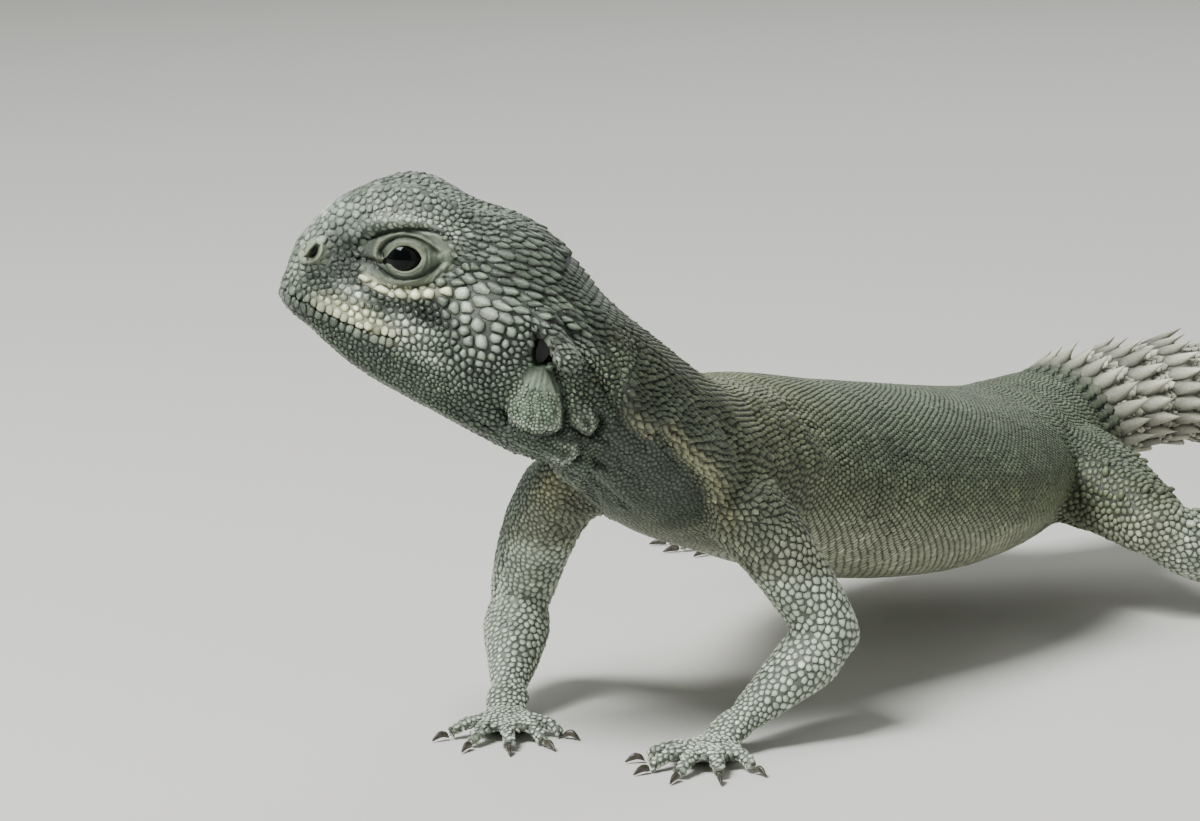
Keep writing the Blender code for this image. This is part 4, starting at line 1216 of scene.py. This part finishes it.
def grainGroup():
    # fine keratin grain: a mask for the colour and a height for the bump
    group = bpy.data.node_groups.new("keratinGrain", "ShaderNodeTree")
    group.interface.new_socket("Scale", in_out="INPUT", socket_type="NodeSocketFloat")
    group.interface.new_socket("Mask", in_out="OUTPUT", socket_type="NodeSocketFloat")
    group.interface.new_socket("Height", in_out="OUTPUT", socket_type="NodeSocketFloat")
    nodes, links = group.nodes, group.links
    start, end = nodes.new("NodeGroupInput"), nodes.new("NodeGroupOutput")
    place = nodes.new("ShaderNodeTexCoord")
    noise = nodes.new("ShaderNodeTexNoise")
    noise.inputs["Detail"].default_value = 5
    noise.inputs["Roughness"].default_value = 0.65
    cells = nodes.new("ShaderNodeTexVoronoi")
    finer = nodes.new("ShaderNodeMath")
    finer.operation = "MULTIPLY"
    finer.inputs[1].default_value = 2.6
    mix = nodes.new("ShaderNodeMath")
    mix.operation = "MULTIPLY_ADD"
    mix.inputs[1].default_value = 0.5
    links.new(place.outputs["Object"], noise.inputs["Vector"])
    links.new(place.outputs["Object"], cells.inputs["Vector"])
    links.new(start.outputs["Scale"], noise.inputs["Scale"])
    links.new(start.outputs["Scale"], finer.inputs[0])
    links.new(finer.outputs[0], cells.inputs["Scale"])
    links.new(cells.outputs["Distance"], mix.inputs[0])
    links.new(noise.outputs["Fac"], mix.inputs[2])
    links.new(noise.outputs["Fac"], end.inputs["Mask"])
    links.new(mix.outputs[0], end.inputs["Height"])
    return group


grain = grainGroup()


def addGrain(nodes, scale):
    node = nodes.new("ShaderNodeGroup")
    node.node_tree = grain
    node.inputs["Scale"].default_value = scale
    return node


def mixColours(nodes, links, factor, first, second, blend="MIX"):
    mix = nodes.new("ShaderNodeMix")
    mix.data_type = "RGBA"
    mix.blend_type = blend
    for socket, value in ((mix.inputs[0], factor), (mix.inputs[6], first), (mix.inputs[7], second)):
        if hasattr(value, "node"):
            links.new(value, socket)
        else:
            socket.default_value = value
    return mix.outputs[2]


def rangeOf(nodes, links, value, low, high, toLow, toHigh):
    span = nodes.new("ShaderNodeMapRange")
    links.new(value, span.inputs["Value"])
    for name, number in (("From Min", low), ("From Max", high), ("To Min", toLow), ("To Max", toHigh)):
        span.inputs[name].default_value = number
    return span.outputs["Result"]


def shaded(nodes, links, colour, value):
    # a colour times a gray of the given value
    gray = nodes.new("ShaderNodeCombineColor")
    for k in range(3):
        links.new(value, gray.inputs[k])
    return mixColours(nodes, links, 1.0, colour, gray.outputs[0], "MULTIPLY")


def addBump(nodes, links, shader, height, strength, distance):
    bump = nodes.new("ShaderNodeBump")
    bump.inputs["Strength"].default_value = strength
    bump.inputs["Distance"].default_value = distance
    links.new(height, bump.inputs["Height"])
    links.new(bump.outputs["Normal"], shader.inputs["Normal"])


def attributeOf(nodes, name):
    node = nodes.new("ShaderNodeAttribute")
    node.attribute_name = name
    return node.outputs


scaleLooks = {
    # the colour at a scale's foot, darkened as painted shade, and on its top, lightened partly as its pale tip and
    # partly as a painted highlight, against its own; roughness and bump
    "bead": (0.19, 1.62, 0.23, 0.65),
    "plate": (0.52, 1.3, 0.24, 0.85),
    "body": (0.24, 1.28, 0.44, 0.25),
    "tail": (0.2, 1.3, 0.5, 0.4),
    "grain": 2600,
}


def scaleMaterial(name, foot, tip, roughness, bump):
    material, nodes, links, shader = newMaterial(name)
    markingAndPaintedLight = attributeOf(nodes, "markingAndPaintedLight")["Color"]
    rise = attributeOf(nodes, "rise")["Fac"]
    grainNode = addGrain(nodes, scaleLooks["grain"])
    # darker at the foot as painted shade, lighter on the top as its pale tip and a painted highlight
    light = rangeOf(nodes, links, rise, 0.05, 0.95, foot, tip)
    speckle = rangeOf(nodes, links, grainNode.outputs["Mask"], 0.3, 0.75, 0.72, 1.22)
    product = nodes.new("ShaderNodeMath")
    product.operation = "MULTIPLY"
    links.new(light, product.inputs[0])
    links.new(speckle, product.inputs[1])
    links.new(shaded(nodes, links, markingAndPaintedLight, product.outputs[0]), shader.inputs["Base Color"])
    links.new(rangeOf(nodes, links, grainNode.outputs["Mask"], 0.3, 0.7, roughness - 0.08, roughness + 0.1),
              shader.inputs["Roughness"])
    addBump(nodes, links, shader, grainNode.outputs["Height"], bump, 0.12 * mm)
    shader.inputs["Specular IOR Level"].default_value = 0.45
    return material


def skinMaterial():
    material, nodes, links, shader = newMaterial("lizardSkin")
    markingAndPaintedLight = attributeOf(nodes, "markingAndPaintedLight")["Color"]
    coarse, fine = addGrain(nodes, 900), addGrain(nodes, 3200)
    shadeOf = rangeOf(nodes, links, coarse.outputs["Mask"], 0.3, 0.7, 0.8, 1.15)
    links.new(shaded(nodes, links, markingAndPaintedLight, shadeOf), shader.inputs["Base Color"])
    links.new(rangeOf(nodes, links, fine.outputs["Mask"], 0.3, 0.7, 0.5, 0.68), shader.inputs["Roughness"])
    addBump(nodes, links, shader, coarse.outputs["Height"], 0.45, 0.2 * mm)
    return material


eyeColours = [      # outwards from the pupil's middle
    (0.0, (0.0008, 0.0014, 0.0016)), (0.33, (0.001, 0.0018, 0.002)), (0.4, (0.004, 0.0045, 0.004)),
    (0.7, (0.003, 0.0034, 0.003)), (0.8, (0.001, 0.0014, 0.0014)), (1.0, (0.008, 0.008, 0.007)),
]


def eyeMaterial():
    material, nodes, links, shader = newMaterial("darkEye")
    ring = attributeOf(nodes, "iris")["Fac"]
    colours = nodes.new("ShaderNodeValToRGB")
    while len(colours.color_ramp.elements) < len(eyeColours):
        colours.color_ramp.elements.new(0.5)
    for element, (place, value) in zip(colours.color_ramp.elements, eyeColours):
        element.position = place
        element.color = (*value, 1)
    links.new(ring, colours.inputs["Fac"])
    streaks = addGrain(nodes, 2200)
    shadeOf = rangeOf(nodes, links, streaks.outputs["Mask"], 0.3, 0.7, 0.7, 1.3)
    links.new(shaded(nodes, links, colours.outputs["Color"], shadeOf), shader.inputs["Base Color"])
    shader.inputs["Roughness"].default_value = 0.06
    shader.inputs["Specular IOR Level"].default_value = 0.14
    return material


def hornMaterial(name, dark, pale, roughness):
    # claws and eardrums: a mottled tone between a dark and a pale colour
    material, nodes, links, shader = newMaterial(name)
    grainNode = addGrain(nodes, 1400)
    share = rangeOf(nodes, links, grainNode.outputs["Mask"], 0.35, 0.65, 0, 1)
    links.new(mixColours(nodes, links, share, (*dark, 1), (*pale, 1)), shader.inputs["Base Color"])
    links.new(rangeOf(nodes, links, grainNode.outputs["Mask"], 0.3, 0.7, roughness, roughness + 0.12),
              shader.inputs["Roughness"])
    addBump(nodes, links, shader, grainNode.outputs["Height"], 0.2, 0.1 * mm)
    return material


# The pieces

def finished(name, mesh, material, slot, *nodes):
    mesh.materials.clear()
    mesh.materials.append(material)
    obj = placedObject(name, mesh)
    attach(obj, "root")
    if nodes:
        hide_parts(*nodes)
    return obj


skinMesh = makeSkin()
skinPoints = meshArrays(skinMesh)[0]
bare = bareShare(skinPoints)
sizes = scaleSizes(skinPoints)
# the skin between the scales is darkened as painted shade, less under flat plates and not where it is bare
flat = ramp(0.42, 0.28, sizes[:, 2] / sizes[:, 1]) * ramp(-13, -11, toHead(skinPoints)[:, 0])
layColour(skinMesh, markingsAndPaintedLight(skinPoints) * blended(blended(0.28, 0.55, flat), 1.0, bare)[:, None])
finished("skin", skinMesh, skinMaterial(), "scaly_skin", *trunkNodes, *limbNodes,
         "tail_1", "tail_2", "tail_3", "tail_4")
skinCopy = copied(skinMesh)
skinTree = BVHTree.FromBMesh(skinCopy)
skinCopy.free()


def headSide(rows, side):
    # places on the side of the head, laid on the skin, as sites of their own size
    found = Sites()
    for along, up, length, width, height in rows:
        start, way = Vector(fromHead((along, 20 * side, up))), Vector(headLeft * -side)
        hit, normal, _, _ = skinTree.ray_cast(start, way)
        if hit is not None:
            found.add([hit], [normal], [-forward], [[length, width, height, 0.05]])
    return found


def lipScales():
    rows = []
    fine = curveThrough(mouthLine, 8)
    steps = np.concatenate([[0], np.cumsum(np.linalg.norm(np.diff(fine, axis=0), axis=1))])
    for name in ("upper", "lower"):
        for run in np.arange(1.0, steps[-1] - 0.5, lipRows["spacing"]):
            along, up = np.interp(run, steps, fine[:, 0]), np.interp(run, steps, fine[:, 1])
            size, shift = 1 + draw.normal(0, lipRows["uneven"]), draw.normal(0, lipRows["uneven"] * 0.6, 2)
            rows.append((along + shift[0], up + lipRows[name] + shift[1], lipRows["spacing"] * size, 1.15 * size,
                         lipRows["height"] * size))
    return rows


neckShape = {
    "cape": (0.78, 0.9, 0.42, 0.5),      # length, width, height and lean of a scale on the cape
    "throat": (0.58, 0.6, 0.09, 0.05),   # and on the smooth skin below it
    "until": 0.27,                       # share of the trunk's line where the rows of the back begin
}
trunkRows = {
    "spacing": 0.8,        # from row to row, in millimetres
    "round": (0.82, 1.35), # width of a scale on the back and under the belly
    "height": 0.17,
    "lean": 0.14,
}


napeRows = {"spacing": 1.02, "width": 0.85, "height": 0.46, "lean": 0.5}
napeLine = [fromHead((2.5, 0, -2.5)), fromHead((-6, 0, -5.2))] + [onBody(*p) for p in (
    (2.5, 5, 44.8), (9.2, 17, 37.2), (17.5, 32, 33.4), (22, 40, 31.5))]
napeSide = [(-40, -9), (-26, -4), (-16, 0.5), (-12, 2.6), (-6, 5.2), (0, 6.2), (3, 6.6)]     # lower edge: along, up


def onNape(points):
    # 1 where the rows of the nape grow, 0 a little beside them
    along, _, up = toHead(points).T
    line = np.array(napeSide)
    share = followLine(points, lines["trunk"])[0]
    return ramp(-0.1, 0.3, up - np.interp(along, line[:, 0], line[:, 1])) * (along < 1) * (share < neckShape["until"])


def headScales():
    fixed = Sites(*[headSide(rows, side) for side in (1, -1) for rows in (subocularScales, lipScales())])

    def wanted(points, normals):
        head = toHead(points)
        inside = (head[:, 0] > -12.5) & (head[:, 2] > -20)
        return inside * (bareShare(points) < 0.5) * (onNape(points) < 0.5)

    return scatter(skinMesh, skinTree, wanted, scaleSizes, fixed)


headSites = headScales()
print("head sites:", len(headSites.place))


def neckSizes(points):
    gap = aboveCape(points)[0]
    onCape = ramp(-0.3, 0.4, gap) * (1 - 0.75 * ramp(-26, -32, onTrunkFlat(points)[1]))
    return blended(np.array(neckShape["throat"]), np.array(neckShape["cape"]), onCape[:, None])


def neckWanted(points, normals):
    share, _, _, apart = followLine(points, lines["trunk"])
    inside = (toHead(points)[:, 0] < -12) & (share < neckShape["until"] + 0.01) & (apart < 22 * mm)
    for hand in ("left", "right"):
        inside = inside & (followLine(points, lines["arm_" + hand])[3] > 5.5 * mm)
    return inside * (onNape(points) < 0.5)


def napeSizes(rise):
    return [napeRows["spacing"], napeRows["width"], napeRows["height"], napeRows["lean"]]


def rowSites(line, start, spacing, limit, sizesOf):
    # rows of scales round a line of the body, each second row set half a step on
    line = curveThrough(np.array(line), 10)
    steps = np.concatenate([[0], np.cumsum(np.linalg.norm(np.diff(line, axis=0), axis=1))])
    place, normal, size = [], [], []
    turns = np.linspace(0, math.tau, 73)
    run, row = start * steps[-1], 0
    while run < steps[-1]:
        middle, ahead, behind = (np.array([np.interp(run + step, steps, line[:, k]) for k in range(3)])
                                 for step in (0, mm, -mm))
        way = unit(ahead - behind)
        across = unit(np.cross(way, (0, 0, 1)))
        over = np.cross(across, way)
        hits, faces = [], []
        for turn in turns:
            toSkin = Vector(across * math.cos(turn) + over * math.sin(turn))
            hit, face, _, apart = skinTree.ray_cast(Vector(middle), toSkin)
            good = hit is not None and apart < limit(run / steps[-1]) * 1.25 * mm
            hits.append(hit[:] if good else (np.nan,) * 3)
            faces.append(face[:] if good else (np.nan,) * 3)
        hits, faces = np.array(hits), np.array(faces)
        wide = np.array([sizesOf(math.sin(turn))[1] for turn in turns])
        ring = np.linalg.norm(np.diff(hits, axis=0), axis=1) / mm
        ring = np.where(np.isnan(ring), 0.5, ring)
        order = np.concatenate([[0], np.cumsum(ring / wide[1:])])
        count = max(int(round(order[-1])), 3)
        for j in range(count):
            at = (j + 0.5 * (row % 2)) * order[-1] / count
            point = [np.interp(at, order, hits[:, k]) for k in range(3)]
            if not np.isnan(point).any():
                turn = float(np.interp(at, order, turns))
                place.append(point)
                normal.append([np.interp(at, order, faces[:, k]) for k in range(3)])
                size.append(sizesOf(math.sin(turn)))
        run += spacing * mm
        row += 1
    sites = Sites()
    place, normal = np.array(place), unit(np.array(normal))
    place += draw.normal(0, 0.05 * mm, place.shape)
    place, _ = surfaceAt(skinTree, place)
    sites.add(place, normal, lieAt(place, normal), np.array(size))
    return sites


def trunkSizes(rise):
    under = float(ramp(-0.1, -0.7, np.array(rise)))
    return [trunkRows["spacing"] * 1.06, blended(*trunkRows["round"], under),
            trunkRows["height"] * (1 - 0.4 * under), trunkRows["lean"]]


def trunkGirth(share):
    return float(np.interp(share, (0, 0.12, 0.3, 0.6, 0.85, 1), (15, 15, 18.5, 26, 22, 13.5)))


def chosen(sites, mask):
    found = Sites()
    found.add(sites.place[mask], sites.normal[mask], sites.lie[mask], sites.size[mask])
    return found


def withoutCrowding(sites, others, share=0.62):
    # drops the sites that lie too near to those that are already there
    tree = treeOf(others.place)
    return chosen(sites, np.array([tree.find(p)[2] > s * mm * share for p, s in zip(sites.place, sites.size[:, 1])]))


def runDown(sites):
    # scales are as high as the back's where the back begins
    near = ramp(0.1, neckShape["until"], followLine(sites.place, lines["trunk"])[0])[:, None]
    flat = np.array([trunkRows["height"], trunkRows["lean"]])
    sites.size[:, 2:] = blended(sites.size[:, 2:], np.minimum(sites.size[:, 2:], flat * 1.2), near)


napeSites = rowSites(napeLine, 0, napeRows["spacing"], lambda share: 15, napeSizes)
napeSites = chosen(napeSites, onNape(napeSites.place) > 0.5)
headSites = withoutCrowding(headSites, napeSites, 0.42)
neckSites = scatter(skinMesh, skinTree, neckWanted, neckSizes)
for others in (headSites, napeSites):
    neckSites = withoutCrowding(neckSites, others, 0.7)
neckSites = Sites(neckSites, napeSites)
runDown(neckSites)
trunkSites = rowSites(lines["trunk"], neckShape["until"], trunkRows["spacing"], trunkGirth, trunkSizes)
trunkSites = withoutCrowding(trunkSites, neckSites, 0.7)
print("neck and trunk sites:", len(neckSites.place), len(trunkSites.place))


limbShape = {
    "plain": (0.95, 0.9),             # length and width of a scale on arms and legs
    "foot": (0.72, 0.7),              # and on hands and feet
    "height": 0.2,
    "lean": 0.2,
    "knobs": 0.05,                    # share of the thighs' scales that are thorny
    "knob": (1.5, 1.35, 0.75, 0.6),   # length, width, height and lean of these
}


def limbSizes(points):
    size = np.zeros((len(points), 4))
    near = plainShare(points)
    for k in range(2):
        size[:, k] = blended(limbShape["foot"][k], limbShape["plain"][k], near)
    size[:, 2:] = limbShape["height"], limbShape["lean"]
    return size


def limbWanted(points, normals):
    onLimb = np.zeros(len(points), bool)
    for node in limbNodes:
        low, high = (np.array(corner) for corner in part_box(node))
        onLimb |= np.all((points > low - 0.5 * mm) & (points < high + 0.5 * mm), axis=1)
    sole = (normals[:, 2] < -0.6) & (points[:, 2] < 1.0 * mm)
    return onLimb & ~sole


limbSites = scatter(skinMesh, skinTree, limbWanted, limbSizes)
for others in (trunkSites, neckSites, headSites):
    limbSites = withoutCrowding(limbSites, others, 0.7)
onThigh = np.minimum(followLine(limbSites.place, lines["leg_left"])[3],
                     followLine(limbSites.place, lines["leg_right"])[3]) < 12 * mm
knobs = onThigh & (limbSites.normal[:, 2] > -0.2) & (draw.random(len(onThigh)) < limbShape["knobs"])
knobs &= plainShare(limbSites.place) > 0.9
limbSites.size[knobs] = limbShape["knob"]
print("limb sites:", len(limbSites.place))


def tailScales():
    # small scales between the whorls' spines, and the spines
    small, spines = Sites(), Sites()
    for i in range(tail["whorls"]):
        share = i / (tail["whorls"] - 1)
        first, last = whorlEdges[i], whorlEdges[i + 1]
        long = (last - first) * tailSteps.sum()
        for part, size in ((0.05, 0.8), (0.19, 0.9), (0.34, 1.1), (0.66, 0)):
            middle, wide, high, way, across, over = tailAt(blended(first, last, part))
            girth = math.pi * (wide + high)
            spiny = size == 0
            count = round(blended(*tail["spinesRound"], share) * (1 if spiny else 1.9 - 0.4 * size))
            for j in range(count):
                angle = (j + 0.5 * (i % 2)) / count * math.tau
                out = across * math.cos(angle) * wide + over * math.sin(angle) * high
                hit, normal, _, _ = skinTree.ray_cast(Vector(middle * mm), Vector(unit(out)))
                if hit is None:
                    continue
                under = float(ramp(-0.35, -0.75, np.array(math.sin(angle))))
                room = girth / count
                if spiny:
                    length = min(blended(*tail["spineLength"], share), long * 0.8) * (1 - 0.6 * under)
                    length *= 1 + draw.normal(0, 0.08)
                    spines.add([hit], [normal], [way], [[long * 0.52, room, length * 0.34, length * 1.0]])
                else:
                    small.add([hit], [normal], [way], [[long * 0.17, room, 0.5 * size, 0.5 * size * (1 - under)]])
    return small, spines


tailSmall, tailSpines = tailScales()
print("tail sites:", len(tailSmall.place), "and", len(tailSpines.place), "spines")


headLook, plateLook, bodyLook, tailLook = (scaleMaterial(name + "Finish", *scaleLooks[name])
                                           for name in ("bead", "plate", "body", "tail"))

headEdges, fineEdges = (cellEdges(Sites(headSites, neckSites), sides)[:len(headSites.place)] for sides in (10, 7))
plateForm, beadForm, fineForm = scaleForm(10, plateRings), scaleForm(10, beadRings), scaleForm(7, bodyRings)
keeledForm = scaleForm(10, beadRings, 0.7, 1.0)
bodyForm, neckForm = scaleForm(6, bodyRings), scaleForm(6, bodyRings, 0.8, 0.8)
spineForm = scaleForm(8, spineRings, 0.25, 0.7)
isKeeled = headSites.size[:, 3] > 0.24
isFine = ~isKeeled & (headSites.size[:, 0] < 0.72)
isBead = ~(isKeeled | isFine) & (headSites.size[:, 2] > 0.3 * headSites.size[:, 1])
isPlate = ~(isKeeled | isBead | isFine)
onHeadLeft = headSites.place[:, 1] < headOrigin[1]
for name, mask, form, look in (("keeledScales", isKeeled, keeledForm, headLook),
                               ("beadScales_left", isBead & onHeadLeft, beadForm, headLook),
                               ("beadScales_right", isBead & ~onHeadLeft, beadForm, headLook),
                               ("plateScales", isPlate, plateForm, plateLook),
                               ("fineScales_left", isFine & onHeadLeft, fineForm, plateLook),
                               ("fineScales_right", isFine & ~onHeadLeft, fineForm, plateLook)):
    some, someEdges = chosen(headSites, mask), (fineEdges if form is fineForm else headEdges)[mask]
    gap, overlap = (0.05 if look is headLook else 0.03), (0.5 if form is keeledForm else 0)
    finished(name, growScales(name, some, someEdges, form, 0.2, gap, overlap, 0.17), look, "scaly_skin")

bodySites = Sites(neckSites, trunkSites, limbSites, tailSmall, headSites)
bodyEdges = cellEdges(bodySites, 6, 9)
counts = np.cumsum([0] + [len(sites.place) for sites in (neckSites, trunkSites, limbSites, tailSmall)])
index = np.arange(len(bodySites.place))
trunkShare = followLine(bodySites.place, lines["trunk"])[0]
inTrunk = (index >= counts[1]) & (index < counts[2])
onLeft = bodySites.place[:, 0] < np.median(limbSites.place[:, 0])
for name, mask in (("neckScales", index < counts[1]),
                   ("shoulderScales", inTrunk & (trunkShare < 0.48)),
                   ("flankScales", inTrunk & (trunkShare >= 0.48) & (trunkShare < 0.64)),
                   ("backScales", inTrunk & (trunkShare >= 0.64) & (trunkShare < 0.81)),
                   ("hipScales", inTrunk & (trunkShare >= 0.81)),
                   ("limbScales", (index >= counts[2]) & (index < counts[3]) & onLeft),
                   ("legScales", (index >= counts[2]) & (index < counts[3]) & ~onLeft),
                   ("tailScales", (index >= counts[3]) & (index < counts[4]))):
    some, someEdges = chosen(bodySites, mask), bodyEdges[mask]
    look = tailLook if name == "tailScales" else bodyLook
    form, overlap = (neckForm, 0.25) if name in ("neckScales", "tailScales") else (bodyForm, 0)
    finished(name, growScales(name, some, someEdges, form, 0.12, 0.04, overlap), look,
             "spiny_tail" if name == "tailScales" else "scaly_skin")
spineEdges = cellEdges(tailSpines, 8, 6, 0.54)
finished("tailSpines", growScales("tailSpines", tailSpines, spineEdges, spineForm, 0.16), tailLook, "spiny_tail")


# Eyes, ears and claws

def makeEye(hand, side):
    front, up, look = eyeAxes()
    turn = np.array([front, up, look])
    bm = bmesh.new()
    bmesh.ops.create_uvsphere(bm, u_segments=48, v_segments=40, radius=1)
    for v in bm.verts:
        bulge = 1 + 0.05 * max(0, (v.co.z - 0.72) / 0.28) ** 1.5      # the clear front stands out a little
        local = np.array(v.co) * (headPlace["eyeRadius"] - 0.05) * bulge
        place = local @ turn + np.array(headPlace["eye"])
        place[1] *= side
        v.co = fromHead(place)
    bmesh.ops.recalc_face_normals(bm, faces=bm.faces)
    mesh = meshFrom(bm, "eye")
    mesh.shade_smooth()
    points = toHead(meshArrays(mesh)[0])
    points[:, 1] *= side
    away = unit(points - np.array(headPlace["eye"]))
    layValue(mesh, "iris", np.arccos(np.clip(away @ look, -1, 1)) / 0.95)
    finished("eyeball_" + hand, mesh, eyeLook, "dark_eye", "eye_" + hand)


def makeClaws():
    whole = bmesh.new()
    nodes = sorted(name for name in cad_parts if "_claw_" in name)
    for node in nodes:
        addPart(whole, mergedNode(node))
    mesh = meshFrom(whole, "claws")
    mesh.shade_smooth()
    claws = finished("claws", mesh, hornMaterial("clawHorn", paint(36, 34, 30), paint(84, 80, 68), 0.3),
                     "claw_horn", *nodes)
    rounder = claws.modifiers.new("rounder", "SUBSURF")
    rounder.levels = 2
    rounder.render_levels = 2


eyeLook = eyeMaterial()
for hand, side in (("left", 1), ("right", -1)):
    makeEye(hand, side)
    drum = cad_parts["ear_" + hand]
    drum.data.materials.clear()
    # the eardrum coloured near black: painted shade of the deep ear opening
    drum.data.materials.append(hornMaterial("eardrumPaintedShade_" + hand, paint(14, 16, 13), paint(30, 33, 28), 0.5))
makeClaws()
print("eyes, ears and claws placed")


# Floor, lights and camera

studio = {
    "floor": paint(206, 205, 200),
    "floorSize": 40,      # metres
    "lights": [           # place, power and width
        ("key", (-0.6, -0.45, 0.95), 26.5, 0.45),
        ("fill", (0.8, -0.9, 0.5), 1.6, 1.2),
        ("rim", (0.3, 0.9, 0.8), 5.0, 0.8),
    ],
    "sky": 0.235,
    "skyColour": (0.96, 1, 0.97, 1),
}
view = {"tilt": 10, "distance": 600, "target": (0, 0, 46), "focal": 4560, "imageWidth": 1200}


def makeFloor():
    bm = bmesh.new()
    bmesh.ops.create_grid(bm, x_segments=1, y_segments=1, size=studio["floorSize"])
    mesh = meshFrom(bm, "floor")
    material, _, _, shader = newMaterial("studioFloor")
    shader.inputs["Base Color"].default_value = (*studio["floor"], 1)
    shader.inputs["Roughness"].default_value = 0.8
    mesh.materials.append(material)
    placedObject("floor", mesh)


def addLight(name, place, power, size):
    light = bpy.data.lights.new(name, "AREA")
    light.energy = power
    light.size = size
    obj = bpy.data.objects.new(name, light)
    bpy.context.scene.collection.objects.link(obj)
    obj.location = place
    obj.rotation_euler = (Vector((0, 0, 0.04)) - Vector(place)).to_track_quat("-Z", "Y").to_euler()


def addCamera():
    # the photograph's view: a long lens a little above the animal's eye
    tilt = math.radians(view["tilt"])
    camera = bpy.data.cameras.new("camera")
    camera.sensor_width = 36
    camera.lens = view["focal"] / view["imageWidth"] * camera.sensor_width
    camera.clip_start = 0.01
    obj = bpy.data.objects.new("camera", camera)
    bpy.context.scene.collection.objects.link(obj)
    back = np.array([0, -math.cos(tilt), math.sin(tilt)]) * view["distance"]
    obj.location = onBody(*(np.array(view["target"]) + back))
    obj.rotation_euler = (math.pi / 2 - tilt, 0, 0)
    bpy.context.scene.camera = obj


makeFloor()
for light in studio["lights"]:
    addLight(*light)
world = bpy.data.worlds.new("studio")
world.use_nodes = True
sky = world.node_tree.nodes["Background"].inputs
sky["Color"].default_value = studio["skyColour"]
sky["Strength"].default_value = studio["sky"]
bpy.context.scene.world = world
addCamera()
print("floor, lights and camera set")
